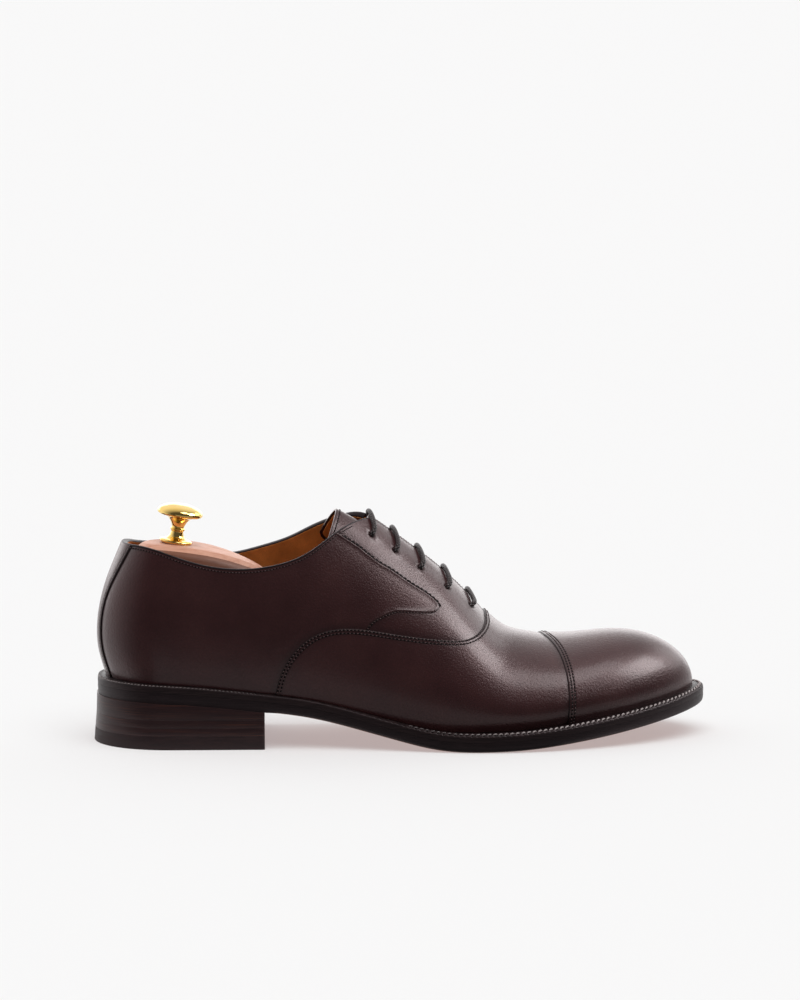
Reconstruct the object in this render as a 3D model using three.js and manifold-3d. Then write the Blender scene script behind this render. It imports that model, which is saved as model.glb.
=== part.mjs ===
// Right-foot cap-toe oxford shoe in men's size EU 42, with its cedar shoe tree inside.
// Millimetres. +X points to the toe, +Y to the inner (medial) side, +Z up. The origin is the centre of the
// footprint on the floor.
//
// The upper is described as one smooth "last" surface. A place on it is (u, w): u runs from the middle of
// the heel back to the toe tip, w runs from -1 at the lateral feather line over 0 at the ridge to +1 at the
// medial feather line. Every leather layer is that surface moved inwards by a depth and cut along its seams.
import * as THREE from "three";
import { mergeVertices } from "three/addons/utils/BufferGeometryUtils.js";
import Module from "manifold-3d";

const wasm = await Module();
wasm.setup();

// ---------------------------------------------------------------- driving dimensions
const GAP = 0.3; // clearance between touching pieces

// Plan and side profiles as [x, value] points of smooth curves.
const HEEL_AXIS_X = -112; // the heel end is a fan round this upright axis
const HEEL_END_X = -147; // back of the feather line
const TOE_AXIS_X = 57; // the toe starts to close here
const TOE_END_X = 148.6; // tip of the feather line
const FAN_LENGTH = 56.5; // length of u round a quarter turn of the heel
const FAN_REACH = 38; // length of the heel end, only used to read the profiles there
const SOLE_BOTTOM = [[-152, 23.7], [-105, 21.9], [-68, 18.2], [-45, 15.2], [-20, 9.4], [0, 4.3], [14, 1.3],
  [28, 0], [42, 0], [56, 0.5], [80, 2.7], [105, 6], [130, 10.2], [152, 14.6]];
const RIDGE = [[-152, 139], [-110, 138], [-70, 133], [-40, 124.5], [-15, 111.5], [2.7, 98.6], [17.8, 86.9],
  [32, 73.8], [44, 61.6], [53, 54.4], [63, 51.3], [80, 49.9], [100, 51.3], [120, 53], [147, 53]];
const HALF_WIDTH = [[-112, 33.4], [-90, 33.6], [-60, 33.6], [-30, 35.6], [0, 40.3], [25, 45.4], [45, 48],
  [57, 48.3]];
const CENTRE_LINE = [[-152, 0], [-112, 0], [-70, -1.6], [-30, -3.4], [10, -2.6], [50, 0], [85, 3], [120, 6],
  [147, 7.2]];
const RIDGE_SHIFT = [[-152, 0], [-70, 1], [-20, 5], [20, 6.5], [60, 4.5], [100, 1.5], [147, 0]];
const FULLNESS = [[-152, 1.7], [-60, 1.7], [0, 1.85], [50, 2.1], [90, 2.3], [147, 2.5]];
const HEEL_BACK = [[20, -143.5], [34, -146.6], [43, -149.2], [55, -150.4], [68, -148.9], [80, -145.6],
  [93, -140.4], [103, -136.2], [125, -127]]; // [height, x] of the back seen from the side
const SOLE_MARGIN = [[-152, 3.5], [-100, 3.6], [-60, 3], [-30, 3.8], [0, 6], [30, 8], [57, 8.4], [90, 7.4],
  [120, 6.4], [152, 5.5]]; // how far welt and sole stand out past the feather line
const FAR_END_X = 152; // where the margins of the two ends are read
const BALL_HALF_WIDTH = 48.3;
const TOE_PLAN = { m: 2, n: 1.9 };
const TOE_DROP = { from: 95, m: 2.6, n: 2.2 };
const HEEL_PLAN_POWER = 2.15;
const FEATHER_INSET = { share: 0.075, upTo: 0.34 }; // the wall tucks in towards the feather line

// Layers, as depths below the outside of the upper.
const UPPER = [0, 1.4];
const STIFFENER = [1.7, 2.2];
const TOE_PUFF_BACK_X = 92;
const COUNTER = { frontX: -84, top: 76 }; // heel counter
const EYELET_STAY = { fromX: -24, toX: 37, low: 60, width: 21 };
const LINING = [2.5, 3.3];
const TONGUE = {
  from: -46, to: 40, half: 21, depth: 7.1, crown: 1.6, thickness: 1, liningThickness: 0.6,
  peak: [-31.3, 114.3], cutSlope: 0.42,
};
const TREE_CLEARANCE = 1.4;
const TREE_UNDER_TONGUE = 4.2; // room for the foot of the tongue over the toe block

// Sole unit.
const OUTSOLE_THICKNESS = 5;
const WELT_THICKNESS = 3.5;
const FEATHER_HEIGHT = OUTSOLE_THICKNESS + WELT_THICKNESS + 2 * GAP;
const HEEL_BREAST_X = -68;
const TOP_PIECE_THICKNESS = 6.4;
const HEEL_LIFT_THICKNESS = 3.6;
const HEEL_LIFT_COUNT = 3;
const HEEL_FLARE = { amount: 1.9, height: 24 }; // the heel grows this much from the sole to the floor
const HEEL_NAIL = { radius: 0.9, count: 6, ringX: -108, ringLength: 27, ringHalfWidth: 22 };
const WELT_INNER = -13; // inner edge of the welt, from its outer edge
const RAND_JOINT_X = -62; // where the welt of the forepart meets the heel rand
const RIB_THICKNESS = 1.6;
const CORK_BACK_X = -4;
const HEEL_FILLER_FRONT_X = -100;
const SHANK = { from: -98, to: -6, half: 6, lift: 0.8, thickness: 1.4 };
const INSOLE_THICKNESS = 2.4;
const INSOLE_CLEARANCE = 4.6; // between the lining and the edge of the insole
const HEEL_PAD = { thickness: 1.5, frontX: -70, inset: 4 };
const SOCK_THICKNESS = 0.8;

// Seams, seen from the side as [x, z] points of smooth curves, from below upwards or from back to front.
const VAMP_SEAM = [[-63, 10], [-62.2, 28.9], [-56.3, 44.2], [-43.5, 56.1], [-25.4, 59.6], [-1.4, 56.4],
  [18.3, 53.9], [30, 53.3], [37.5, 55.4], [42.3, 59.6], [42.6, 64], [39, 71], [33, 78]];
const CAP_SEAM = [[73.7, 0], [73.8, 16], [74.2, 24], [74.6, 32], [74.7, 38], [74.4, 44.8], [73.7, 47.9],
  [72.9, 49.6], [71.9, 50.5], [69, 52.8]];
const CAP_SKEW = { slope: 0.16, y: 5.4 }; // the cap seam runs forwards on the lateral side of this y
const TOPLINE_LATERAL = [[-146, 100], [-138, 100], [-130.6, 100], [-120.1, 98], [-106.5, 93.4], [-80.8, 89],
  [-58.7, 91.6], [-45.9, 96.6], [-30, 107], [-20, 110.9], [-14.6, 111.4]];
const TOPLINE_MEDIAL = [[-146, 100], [-138, 100], [-132, 98], [-122, 96.3], [-108, 93.8], [-94, 90.8],
  [-81.9, 90.4], [-73.9, 92.2], [-64.5, 95], [-53.8, 98.9], [-42.5, 104.8], [-27, 111], [-19, 112.4],
  [-14.6, 111.6]];
const BINDING_HEIGHT = 1.2;
const BINDING_END_X = -16; // the binding stops where the facings begin
const THROAT_GAP = [[-70, GAP], [-50, 2.5], [-30, 6.4], [0, 4.4], [40, 2.4]]; // between the two facings
// Half the width of the back stay at each height.
const BACK_STAY = [[-20, 13], [35, 12.6], [50, 11.2], [62, 10.5], [72, 11], [82, 13], [92, 14.8], [170, 15]];
const LINING_SEAM = [[-12, -20], [-12, 58], [43, 60], [43, 170]]; // between quarter and vamp linings

// Lacing: the eyelets as [x, z], and the cord.
const EYELETS = [[-14.2, 103.2], [-2.5, 95.3], [10, 86.6], [23.2, 76.7], [35.4, 67.1]];
const EYELET_RADIUS = 2.1;
const LINING_HOLE_RADIUS = 2.9;
const LACE_RADIUS = 1.2;
const LACE_INSIDE_DEPTH = 5.5;
const LACE_OUTSIDE_DEPTH = -1.6;
const AGLET_LENGTH = 10;
const LACE_TAIL = { // the hidden ends, beside the eyelet rows
  offset: 1.4, turn: 1.22, lateralX: [-6, 2, 10, 18, 26, 33], medialRun: [1, 8, 16, 24, 32],
};

// Shoe tree.
const STEM_START = new THREE.Vector3(-98, 0, 63.5);
const STEM_END = new THREE.Vector3(24, 0, 33);
const STEM_OUTER_RADIUS = 4.6;
const STEM_INNER_RADIUS = 3.4;
const STEM_LENGTH = 84;
const ROD = { radius: 2.3, start: 30, length: 92 };
const SPRING = { wire: 0.35, radius: 2.9, turns: 5, length: 20 };
// Heel block: outlines as [back x, front x, half-width] at heights, and below its sloping crown.
const BLOCK_CENTRE_X = -106;
const BLOCK_CROWN = [[-130, 98.4], [-118, 98.5], [-105, 97.3], [-90, 94.3], [-74, 88.4], [-66, 84.6]];
const BLOCK_LEVELS = [
  { z: 42, shape: [-134, -76, 20] },
  { z: 46, shape: [-138, -72, 23] },
  { z: 60, shape: [-140, -68, 25.5] },
  { z: 74, shape: [-139, -66, 23.5] },
];
const BLOCK_TOP = [{ drop: 3.6, shape: [-132.3, -65, 19.6] }, { drop: 0, shape: [-127.4, -68.4, 13.9] }];
const KNOB_BASE = new THREE.Vector3(-111.1, 0, 98.6);
const KNOB_LEAN = THREE.MathUtils.degToRad(9);
const KNOB_SEAT = { radius: 8.6, height: 8, depth: 0.9 };
// Knob as [radius, height] of a turned shape.
const KNOB_PROFILE = [[0, -0.6], [7.6, -0.6], [8.1, 0.2], [7.4, 1.2], [4.6, 2], [3.3, 3.8], [3, 5.4],
  [3.7, 6.4], [3.1, 7.4], [3.8, 9.6], [6, 12], [10, 13.3], [11.3, 14.4], [11, 15.8], [9, 17.4],
  [5, 18.7], [0, 19.2]];
const TOE_BLOCK = { from: 4, to: 126, slot: 6.4, floor: 6.8 };
const TOE_PIN = { xs: [30, 92], radius: 2, length: 34, lift: 9 };
const TOE_TRAVEL = 4; // how far the lateral half can be pressed inwards

// ---------------------------------------------------------------- curves
function naturalSpline(points) {
  const n = points.length;
  const x = points.map((p) => p[0]);
  const y = points.map((p) => p[1]);
  const bend = new Array(n).fill(0);
  const upper = new Array(n).fill(0);
  for (let i = 1; i < n - 1; i += 1) {
    const before = x[i] - x[i - 1];
    const after = x[i + 1] - x[i];
    const pivot = 2 * (before + after) - before * upper[i - 1];
    const load = 6 * ((y[i + 1] - y[i]) / after - (y[i] - y[i - 1]) / before);
    upper[i] = after / pivot;
    bend[i] = (load - before * bend[i - 1]) / pivot;
  }
  for (let i = n - 2; i > 0; i -= 1) bend[i] -= upper[i] * bend[i + 1];
  const slopeAt = (k, end) => {
    const h = x[k + 1] - x[k];
    const rise = (y[k + 1] - y[k]) / h;
    return end ? rise + (h * (bend[k] + 2 * bend[k + 1])) / 6 : rise - (h * (2 * bend[k] + bend[k + 1])) / 6;
  };
  return (q) => {
    if (q <= x[0]) return y[0] + slopeAt(0, false) * (q - x[0]);
    if (q >= x[n - 1]) return y[n - 1] + slopeAt(n - 2, true) * (q - x[n - 1]);
    let k = 0;
    while (q > x[k + 1]) k += 1;
    const h = x[k + 1] - x[k];
    const a = (x[k + 1] - q) / h;
    const b = 1 - a;
    return a * y[k] + b * y[k + 1] + (((a ** 3 - a) * bend[k] + (b ** 3 - b) * bend[k + 1]) * h * h) / 6;
  };
}

const soleBottom = naturalSpline(SOLE_BOTTOM);
const ridgeHeight = naturalSpline(RIDGE);
const halfWidth = naturalSpline(HALF_WIDTH);
const centreLine = naturalSpline(CENTRE_LINE);
const ridgeShift = naturalSpline(RIDGE_SHIFT);
const fullness = naturalSpline(FULLNESS);
const heelBack = naturalSpline(HEEL_BACK);
const soleMargin = naturalSpline(SOLE_MARGIN);
const throatGap = naturalSpline(THROAT_GAP);
const clamp = THREE.MathUtils.clamp;
const smoothstep = THREE.MathUtils.smoothstep;
const feather = (x) => soleBottom(x) + FEATHER_HEIGHT;
const centreY = (x) => centreLine(Math.max(x, HEEL_AXIS_X));
const ridgeY = (x) => centreY(x) + ridgeShift(x);
const closing = (t, m, n) => (1 - clamp(t, 0, 1) ** m) ** (1 / n);

// ---------------------------------------------------------------- the last surface
function lastWidth(x) {
  if (x < TOE_AXIS_X) return halfWidth(x);
  return BALL_HALF_WIDTH * closing((x - TOE_AXIS_X) / (TOE_END_X - TOE_AXIS_X), TOE_PLAN.m, TOE_PLAN.n);
}

function lastHeight(x) {
  const drop = closing((x - TOE_DROP.from) / (TOE_END_X - TOE_DROP.from), TOE_DROP.m, TOE_DROP.n);
  return (ridgeHeight(x) - feather(x)) * (x > TOE_DROP.from ? drop : 1);
}

function lastPoint(u, w) {
  const side = Math.sign(w) || 1;
  const rise = Math.sin(((1 - Math.abs(w)) * Math.PI) / 2); // 0 at the feather line, 1 on the ridge
  const turn = clamp((HEEL_AXIS_X - u) / FAN_LENGTH, 0, 1) * (Math.PI / 2);
  const x = u < HEEL_AXIS_X ? HEEL_AXIS_X - FAN_REACH * Math.sin(turn) : u;
  const z = feather(x) + lastHeight(x) * rise;
  const tuck = 1 - FEATHER_INSET.share * Math.max(0, 1 - rise / FEATHER_INSET.upTo) ** 2;
  const half = lastWidth(Math.max(x, HEEL_AXIS_X)) * Math.sqrt(Math.max(0, 1 - rise ** fullness(x))) * tuck;
  let px = x;
  let py = half;
  if (u < HEEL_AXIS_X) {
    const cos = Math.abs(Math.cos(turn)) < 1e-9 ? 0 : Math.cos(turn);
    const across = (cos / Math.max(half, 1e-6)) ** HEEL_PLAN_POWER;
    const along = (Math.sin(turn) / (HEEL_AXIS_X - heelBack(z))) ** HEEL_PLAN_POWER;
    const reach = (across + along) ** (-1 / HEEL_PLAN_POWER);
    px = HEEL_AXIS_X - reach * Math.sin(turn);
    py = reach * cos;
  }
  return new THREE.Vector3(px, centreY(px) + side * py + ridgeShift(px) * rise * rise, z);
}

function rawNormal(u, w) {
  const step = 0.4;
  const stepW = 0.004;
  const back = Math.max(u - step, HEEL_AXIS_X - FAN_LENGTH);
  const alongU = lastPoint(Math.min(u + step, TOE_END_X), w).sub(lastPoint(back, w));
  const low = lastPoint(u, Math.max(w - stepW, -1));
  const alongW = lastPoint(u, Math.min(w + stepW, 1)).sub(low);
  return alongU.cross(alongW).normalize();
}

function lastNormal(u, w) {
  const edge = 0.4; // the toe tip and the heel back are read as one place each
  if (u > TOE_END_X - edge) return new THREE.Vector3(1, 0, 0.15).normalize();
  if (u > HEEL_AXIS_X - FAN_LENGTH + edge) return rawNormal(u, w);
  const normal = rawNormal(u, w).add(rawNormal(u, -w));
  normal.y = 0;
  return normal.normalize();
}

const offsetPoint = (u, w, depth) => lastPoint(u, w).addScaledVector(lastNormal(u, w), -depth);

// The w of the place that lies at height z on the section at x.
function wAtHeight(x, z, side) {
  const rise = clamp((z - feather(x)) / lastHeight(x), 0, 1);
  return side * (1 - (Math.asin(rise) * 2) / Math.PI);
}

// Arc length across the ridge for one unit of w, near w = 0.
const ridgeScale = (x) => (lastWidth(x) * Math.sqrt(fullness(x)) * Math.PI) / (2 * Math.SQRT2);

// ---------------------------------------------------------------- solids
function weld(geometry) {
  geometry.deleteAttribute("normal");
  geometry.deleteAttribute("uv");
  const merged = mergeVertices(geometry, 1e-4);
  const index = Array.from(merged.index.array);
  const kept = [];
  for (let i = 0; i < index.length; i += 3) {
    const [a, b, c] = index.slice(i, i + 3);
    if (a !== b && b !== c && c !== a) kept.push(a, b, c);
  }
  merged.setIndex(kept);
  return merged;
}

function enclosedVolume(geometry) {
  const a = new THREE.Vector3();
  const b = new THREE.Vector3();
  const c = new THREE.Vector3();
  const index = geometry.index.array;
  let total = 0;
  for (let i = 0; i < index.length; i += 3) {
    a.fromBufferAttribute(geometry.attributes.position, index[i]);
    b.fromBufferAttribute(geometry.attributes.position, index[i + 1]);
    c.fromBufferAttribute(geometry.attributes.position, index[i + 2]);
    total += a.dot(b.cross(c)) / 6;
  }
  return total;
}

function faceOutwards(geometry) {
  if (enclosedVolume(geometry) > 0) return geometry;
  geometry.setIndex(Array.from(geometry.index.array).reverse());
  return geometry;
}

const toSolid = (geometry) => {
  const welded = faceOutwards(weld(geometry));
  const mesh = new wasm.Mesh({
    numProp: 3,
    vertProperties: new Float32Array(welded.attributes.position.array),
    triVerts: new Uint32Array(welded.index.array),
  });
  return new wasm.Manifold(mesh);
};

function toGeometry(solid) {
  const mesh = solid.getMesh();
  const geometry = new THREE.BufferGeometry();
  geometry.setAttribute("position", new THREE.BufferAttribute(new Float32Array(mesh.vertProperties), 3));
  geometry.setIndex(new THREE.BufferAttribute(new Uint32Array(mesh.triVerts), 1));
  return geometry;
}

// A body through a row of sections with the same number of points; each section is a closed outline. Quads
// from place `mirrored` on are split along their other diagonal, so that both faces of a skin stay parallel.
function loft(sections, { capped = true, mirrored = Infinity } = {}) {
  const size = sections[0].length;
  const points = sections.flat();
  const index = [];
  for (let s = 0; s < sections.length - 1; s += 1) {
    for (let k = 0; k < size; k += 1) {
      const next = (k + 1) % size;
      const [a, b] = [s * size + k, s * size + next];
      const [c, d] = [b + size, a + size];
      if (k < mirrored) index.push(a, b, c, a, c, d);
      else index.push(b, c, d, b, d, a);
    }
  }
  if (capped) {
    const last = (sections.length - 1) * size;
    for (let k = 1; k < size - 1; k += 1) {
      index.push(0, k + 1, k);
      index.push(last, last + k, last + k + 1);
    }
  }
  const geometry = new THREE.BufferGeometry();
  geometry.setAttribute("position", new THREE.Float32BufferAttribute(points.flatMap((p) => p.toArray()), 3));
  geometry.setIndex(index);
  return toSolid(geometry);
}

function range(from, to, steps) {
  return Array.from({ length: steps + 1 }, (_, i) => from + ((to - from) * i) / steps);
}

const v3 = (x, y, z) => new THREE.Vector3(x, y, z);

// Stations along u, closer together where the toe closes.
function stations(heelSteps, middleSteps, toeSteps) {
  const heel = range(HEEL_AXIS_X - FAN_LENGTH, HEEL_AXIS_X, heelSteps);
  const middle = range(HEEL_AXIS_X, TOE_AXIS_X, middleSteps).slice(1);
  const toe = range(0, Math.PI / 2, toeSteps).slice(1);
  return [...heel, ...middle, ...toe.map((a) => TOE_AXIS_X + (TOE_END_X - TOE_AXIS_X) * Math.sin(a))];
}

// A whole layer of the upper, from the heel back round to the toe tip.
function layer([outer, inner]) {
  const ws = range(-1, 1, 12);
  return loft(stations(5, 10, 7).map((u) => [
    ...ws.map((w) => offsetPoint(u, w, outer)),
    ...ws.toReversed().map((w) => offsetPoint(u, w, inner)),
  ]), { capped: false, mirrored: ws.length });
}

// A patch of a layer between two u and within a half-width given in millimetres across the ridge.
function ridgePatch(us, halfWidthAt, outerDepth, innerDepth, steps) {
  const row = (u, depth) => range(-1, 1, steps).map((t) => {
    const w = (t * halfWidthAt(u)) / ridgeScale(u);
    return offsetPoint(u, w, depth(t));
  });
  const sections = us.map((u) => [...row(u, outerDepth), ...row(u, innerDepth).toReversed()]);
  return loft(sections, { mirrored: steps + 1 });
}

// Reach of the cutting shapes: along, half across, lowest and highest.
const FAR = 190;
const SPAN = 90;
const LOW = -20;
const HIGH = 170;

// Prisms that cut: one across the shoe from an outline in the side view, one upright from a plan outline.
function sidePrism(outline, from = -SPAN, to = SPAN) {
  const shape = new THREE.Shape(outline.map(([x, z]) => new THREE.Vector2(x, z)));
  const geometry = new THREE.ExtrudeGeometry(shape, { depth: to - from, bevelEnabled: false });
  geometry.rotateX(Math.PI / 2);
  geometry.translate(0, to, 0);
  return toSolid(geometry);
}

function plan(outline, from, to) {
  const shape = new THREE.Shape(outline.map(([x, y]) => new THREE.Vector2(x, y)));
  const geometry = new THREE.ExtrudeGeometry(shape, { depth: to - from, bevelEnabled: false });
  geometry.translate(0, 0, from);
  return toSolid(geometry);
}

function smoothLine(points, perSpan = 2) {
  const curve = new THREE.SplineCurve(points.map(([x, z]) => new THREE.Vector2(x, z)));
  return curve.getPoints((points.length - 1) * perSpan).map((p) => [p.x, p.y]);
}

// The same line moved sideways: to its left for a positive distance.
function shiftLine(line, distance) {
  return line.map(([x, z], i) => {
    const [ax, az] = line[Math.max(i - 1, 0)];
    const [bx, bz] = line[Math.min(i + 1, line.length - 1)];
    const length = Math.hypot(bx - ax, bz - az);
    return [x - (distance * (bz - az)) / length, z + (distance * (bx - ax)) / length];
  });
}

// ---------------------------------------------------------------- regions of the upper
const BACK_STRIP_X = -118; // the back stay lies wholly behind this

// Everything in front of a seam that runs upwards, grown backwards by a clearance.
function aheadOf(seam, clearance) {
  return sidePrism([...shiftLine(smoothLine(seam), clearance), [FAR, 80], [FAR, LOW]]);
}

// Everything in front of the cap seam, which runs slightly askew over the toes.
function aheadOfCapSeam(clearance) {
  const skew = new THREE.Matrix4().makeShear(0, 0, -CAP_SKEW.slope, 0, 0, 0);
  skew.setPosition(CAP_SKEW.slope * CAP_SKEW.y, 0, 0);
  return aheadOf(CAP_SEAM, clearance).transform(skew.elements);
}

// Everything above a topline, on one side of the shoe, lowered by a distance.
function aboveTopline(points, side, lowered) {
  const line = shiftLine(smoothLine(points), -lowered);
  const end = line[line.length - 1];
  const outline = [[-FAR, line[0][1]], ...line, [end[0] + 2, end[1] + 8], [end[0] + 2, HIGH], [-FAR, HIGH]];
  return side < 0 ? sidePrism(outline, -SPAN, 0) : sidePrism(outline, 0, SPAN);
}

function footOpening(lowered) {
  return aboveTopline(TOPLINE_LATERAL, -1, lowered).add(aboveTopline(TOPLINE_MEDIAL, 1, lowered));
}

// One side of the shoe, up to the throat gap and the middle of the heel.
function sideHalf(side) {
  const xs = [-FAR, -70, -50, -40, -30, -15, 0, 20, 40, 60];
  const edge = xs.map((x) => [x, (x < -60 ? 0 : ridgeY(x)) + (side * Math.max(throatGap(x), GAP)) / 2]);
  return plan([...edge, [60, side * SPAN], [-FAR, side * SPAN]], LOW, HIGH);
}

const lateralHalf = sideHalf(-1);
const medialHalf = sideHalf(1);

function sideBox(fromX, toX, fromZ, toZ) {
  return sidePrism([[fromX, fromZ], [toX, fromZ], [toX, toZ], [fromX, toZ]]);
}

// The strip up the back of the heel that the back stay covers, grown by a clearance.
function backStrip(grown) {
  const edge = BACK_STAY.map(([z, half]) => [half + grown, z]);
  const outline = [...edge, ...edge.toReversed().map(([y, z]) => [-y, z])];
  const shape = new THREE.Shape(outline.map(([y, z]) => new THREE.Vector2(y, z)));
  const geometry = new THREE.ExtrudeGeometry(shape, { depth: FAR + BACK_STRIP_X, bevelEnabled: false });
  geometry.applyMatrix4(new THREE.Matrix4().set(0, 0, 1, -FAR, 1, 0, 0, 0, 0, 1, 0, 0, 0, 0, 0, 1));
  return toSolid(geometry);
}

// Upright-to-the-surface pegs that punch the eyelets through every layer of one side.
function eyeletPegs(side, radius) {
  const pegs = EYELETS.map(([x, z]) => {
    const w = wAtHeight(x, z, side);
    const peg = new THREE.CylinderGeometry(radius, radius, 12, 8);
    peg.applyQuaternion(new THREE.Quaternion().setFromUnitVectors(v3(0, 1, 0), lastNormal(x, w)));
    peg.translate(...offsetPoint(x, w, 1.5).toArray());
    return toSolid(peg);
  });
  return pegs.reduce((all, peg) => all.add(peg));
}

// ---------------------------------------------------------------- sole unit shapes
// Half the width of a sole piece at x that stands `extra` outside the welt line.
function soleHalf(x, extra) {
  const inset = 1 - FEATHER_INSET.share;
  const width = (x < TOE_AXIS_X ? halfWidth(Math.max(x, HEEL_AXIS_X)) : BALL_HALF_WIDTH) * inset;
  const margin = soleMargin(x) + extra;
  if (x > TOE_AXIS_X) {
    const reach = TOE_END_X - TOE_AXIS_X + soleMargin(FAR_END_X) + extra;
    return (width + margin) * closing((x - TOE_AXIS_X) / reach, TOE_PLAN.m, TOE_PLAN.n);
  }
  if (x > HEEL_AXIS_X) return width + margin;
  const reach = HEEL_AXIS_X - HEEL_END_X + soleMargin(-FAR_END_X) + extra;
  return (width + margin) * closing((HEEL_AXIS_X - x) / reach, HEEL_PLAN_POWER, HEEL_PLAN_POWER);
}

// x stations of a sole piece, bunched at its round ends.
function soleStations(extra, from, to, steps = 9) {
  const heelReach = HEEL_AXIS_X - HEEL_END_X + soleMargin(-FAR_END_X) + extra;
  const toeReach = TOE_END_X - TOE_AXIS_X + soleMargin(FAR_END_X) + extra;
  const quarter = range(0, Math.PI / 2, steps);
  const xs = [];
  if (from === null) xs.push(...quarter.map((a) => HEEL_AXIS_X - heelReach * Math.cos(a)));
  else xs.push(from);
  const start = xs[xs.length - 1];
  const end = to === null ? TOE_AXIS_X : to;
  const middleSteps = Math.max(1, Math.round((end - start) / 14));
  xs.push(...range(start, end, middleSteps).slice(1));
  if (to === null) xs.push(...quarter.slice(1).map((a) => TOE_AXIS_X + toeReach * Math.sin(a)));
  return xs;
}

// A plate with the sole's outline between two heights; null ends are the round heel and toe ends.
function solePlate({ extra, from, to, bottom, top, steps }) {
  return loft(soleStations(extra, from, to, steps).map((x) => {
    const half = soleHalf(x, extra);
    const y = centreY(x);
    return [v3(x, y - half, bottom(x)), v3(x, y + half, bottom(x)),
      v3(x, y + half, top(x)), v3(x, y - half, top(x))];
  }));
}

// ---------------------------------------------------------------- scene graph
const part = new THREE.Group();

function piece(name, solid, material) {
  const mesh = new THREE.Mesh(toGeometry(solid), new THREE.MeshStandardMaterial(material));
  mesh.name = name;
  part.add(mesh);
}

const LEATHER = { color: 0x3f2725, roughness: 0.34, metalness: 0 };
const EDGE_LEATHER = { color: 0x17120f, roughness: 0.4, metalness: 0 };
const LINING_LEATHER = { color: 0x7a4219, roughness: 0.6, metalness: 0 };
const SOLE_LEATHER = { color: 0x9a6238, roughness: 0.55, metalness: 0 };
const STACK_LEATHER = { color: 0x2c1c18, roughness: 0.42, metalness: 0 };
const RUBBER = { color: 0x141213, roughness: 0.7, metalness: 0 };
const BOARD = { color: 0xb08a5a, roughness: 0.8, metalness: 0 };
const CORK = { color: 0xa9784a, roughness: 0.95, metalness: 0 };
const STEEL = { color: 0x9a9c9e, roughness: 0.35, metalness: 1 };
const BRASS = { color: 0xe6cf8c, roughness: 0.2, metalness: 1 };
const CEDAR = { color: 0xd8ab97, roughness: 0.6, metalness: 0 };
const LACE = { color: 0x2c2222, roughness: 0.7, metalness: 0 };

// ---------------------------------------------------------------- upper
const vampRegion = aheadOf(VAMP_SEAM, 0);
const vampRegionGrown = aheadOf(VAMP_SEAM, GAP);
const capRegion = aheadOfCapSeam(0);
const capRegionGrown = aheadOfCapSeam(GAP);
const openingForBinding = footOpening(BINDING_HEIGHT);
const pegsOfBothSides = (radius) => ({ lateral: eyeletPegs(-1, radius), medial: eyeletPegs(1, radius) });
const pegs = pegsOfBothSides(EYELET_RADIUS);
const liningPegs = pegsOfBothSides(LINING_HOLE_RADIUS);
const halves = { lateral: lateralHalf, medial: medialHalf };

function addUpper() {
  const shell = layer(UPPER);
  piece("toe_cap", shell.intersect(capRegion), LEATHER);
  piece("vamp", shell.intersect(vampRegion).subtract(capRegionGrown), LEATHER);
  const quarters = shell.subtract(vampRegionGrown).subtract(openingForBinding);
  for (const side of ["lateral", "medial"]) {
    const quarter = quarters.subtract(backStrip(GAP)).intersect(halves[side]);
    piece(`quarter_${side}`, quarter.subtract(pegs[side]), LEATHER);
  }
  piece("back_stay", quarters.intersect(backStrip(0)), LEATHER);
}

function addBinding() {
  const band = layer([0, LINING[1]]);
  const strip = band.intersect(footOpening(BINDING_HEIGHT - GAP)).subtract(footOpening(0));
  const behindThroat = sideBox(-FAR, BINDING_END_X, EYELET_STAY.low, HIGH);
  piece("topline_binding", strip.intersect(behindThroat), EDGE_LEATHER);
}

function addLinings() {
  const shell = layer(LINING);
  const ahead = (clearance) => {
    const [[x0, z0], [x1, z1], [x2, z2], [x3, z3]] = LINING_SEAM;
    const seam = [[x0 - clearance, z0], [x1 - clearance, z1], [x2 - clearance, z2 + clearance],
      [x3 - clearance, z3]];
    return sidePrism([...seam, [FAR, HIGH], [FAR, LOW]]);
  };
  piece("vamp_lining", shell.intersect(ahead(0)), LINING_LEATHER);
  const behind = shell.subtract(ahead(GAP)).subtract(openingForBinding);
  for (const side of ["lateral", "medial"]) {
    const quarter = behind.intersect(halves[side]).subtract(liningPegs[side]);
    piece(`quarter_lining_${side}`, quarter, LINING_LEATHER);
  }
}

function addStiffeners() {
  const shell = layer(STIFFENER);
  piece("toe_puff", shell.intersect(sideBox(TOE_PUFF_BACK_X, FAR, LOW, HIGH)), BOARD);
  piece("heel_counter", shell.intersect(sideBox(-FAR, COUNTER.frontX, LOW, COUNTER.top)), BOARD);
  const stay = shell.intersect(sideBox(EYELET_STAY.fromX, EYELET_STAY.toX, EYELET_STAY.low, HIGH))
    .subtract(openingForBinding).subtract(vampRegionGrown);
  for (const side of ["lateral", "medial"]) {
    const reach = plan(stayOutline(side === "lateral" ? -1 : 1), LOW, HIGH);
    piece(`eyelet_stay_${side}`, stay.intersect(halves[side]).intersect(reach).subtract(pegs[side]), BOARD);
  }
}

// Plan outline of the strip that stiffens one row of eyelets.
function stayOutline(side) {
  const xs = [EYELET_STAY.fromX, 0, 20, EYELET_STAY.toX];
  return [...xs.map((x) => [x, ridgeY(x)]),
    ...xs.toReversed().map((x) => [x, ridgeY(x) + side * EYELET_STAY.width])];
}

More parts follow.
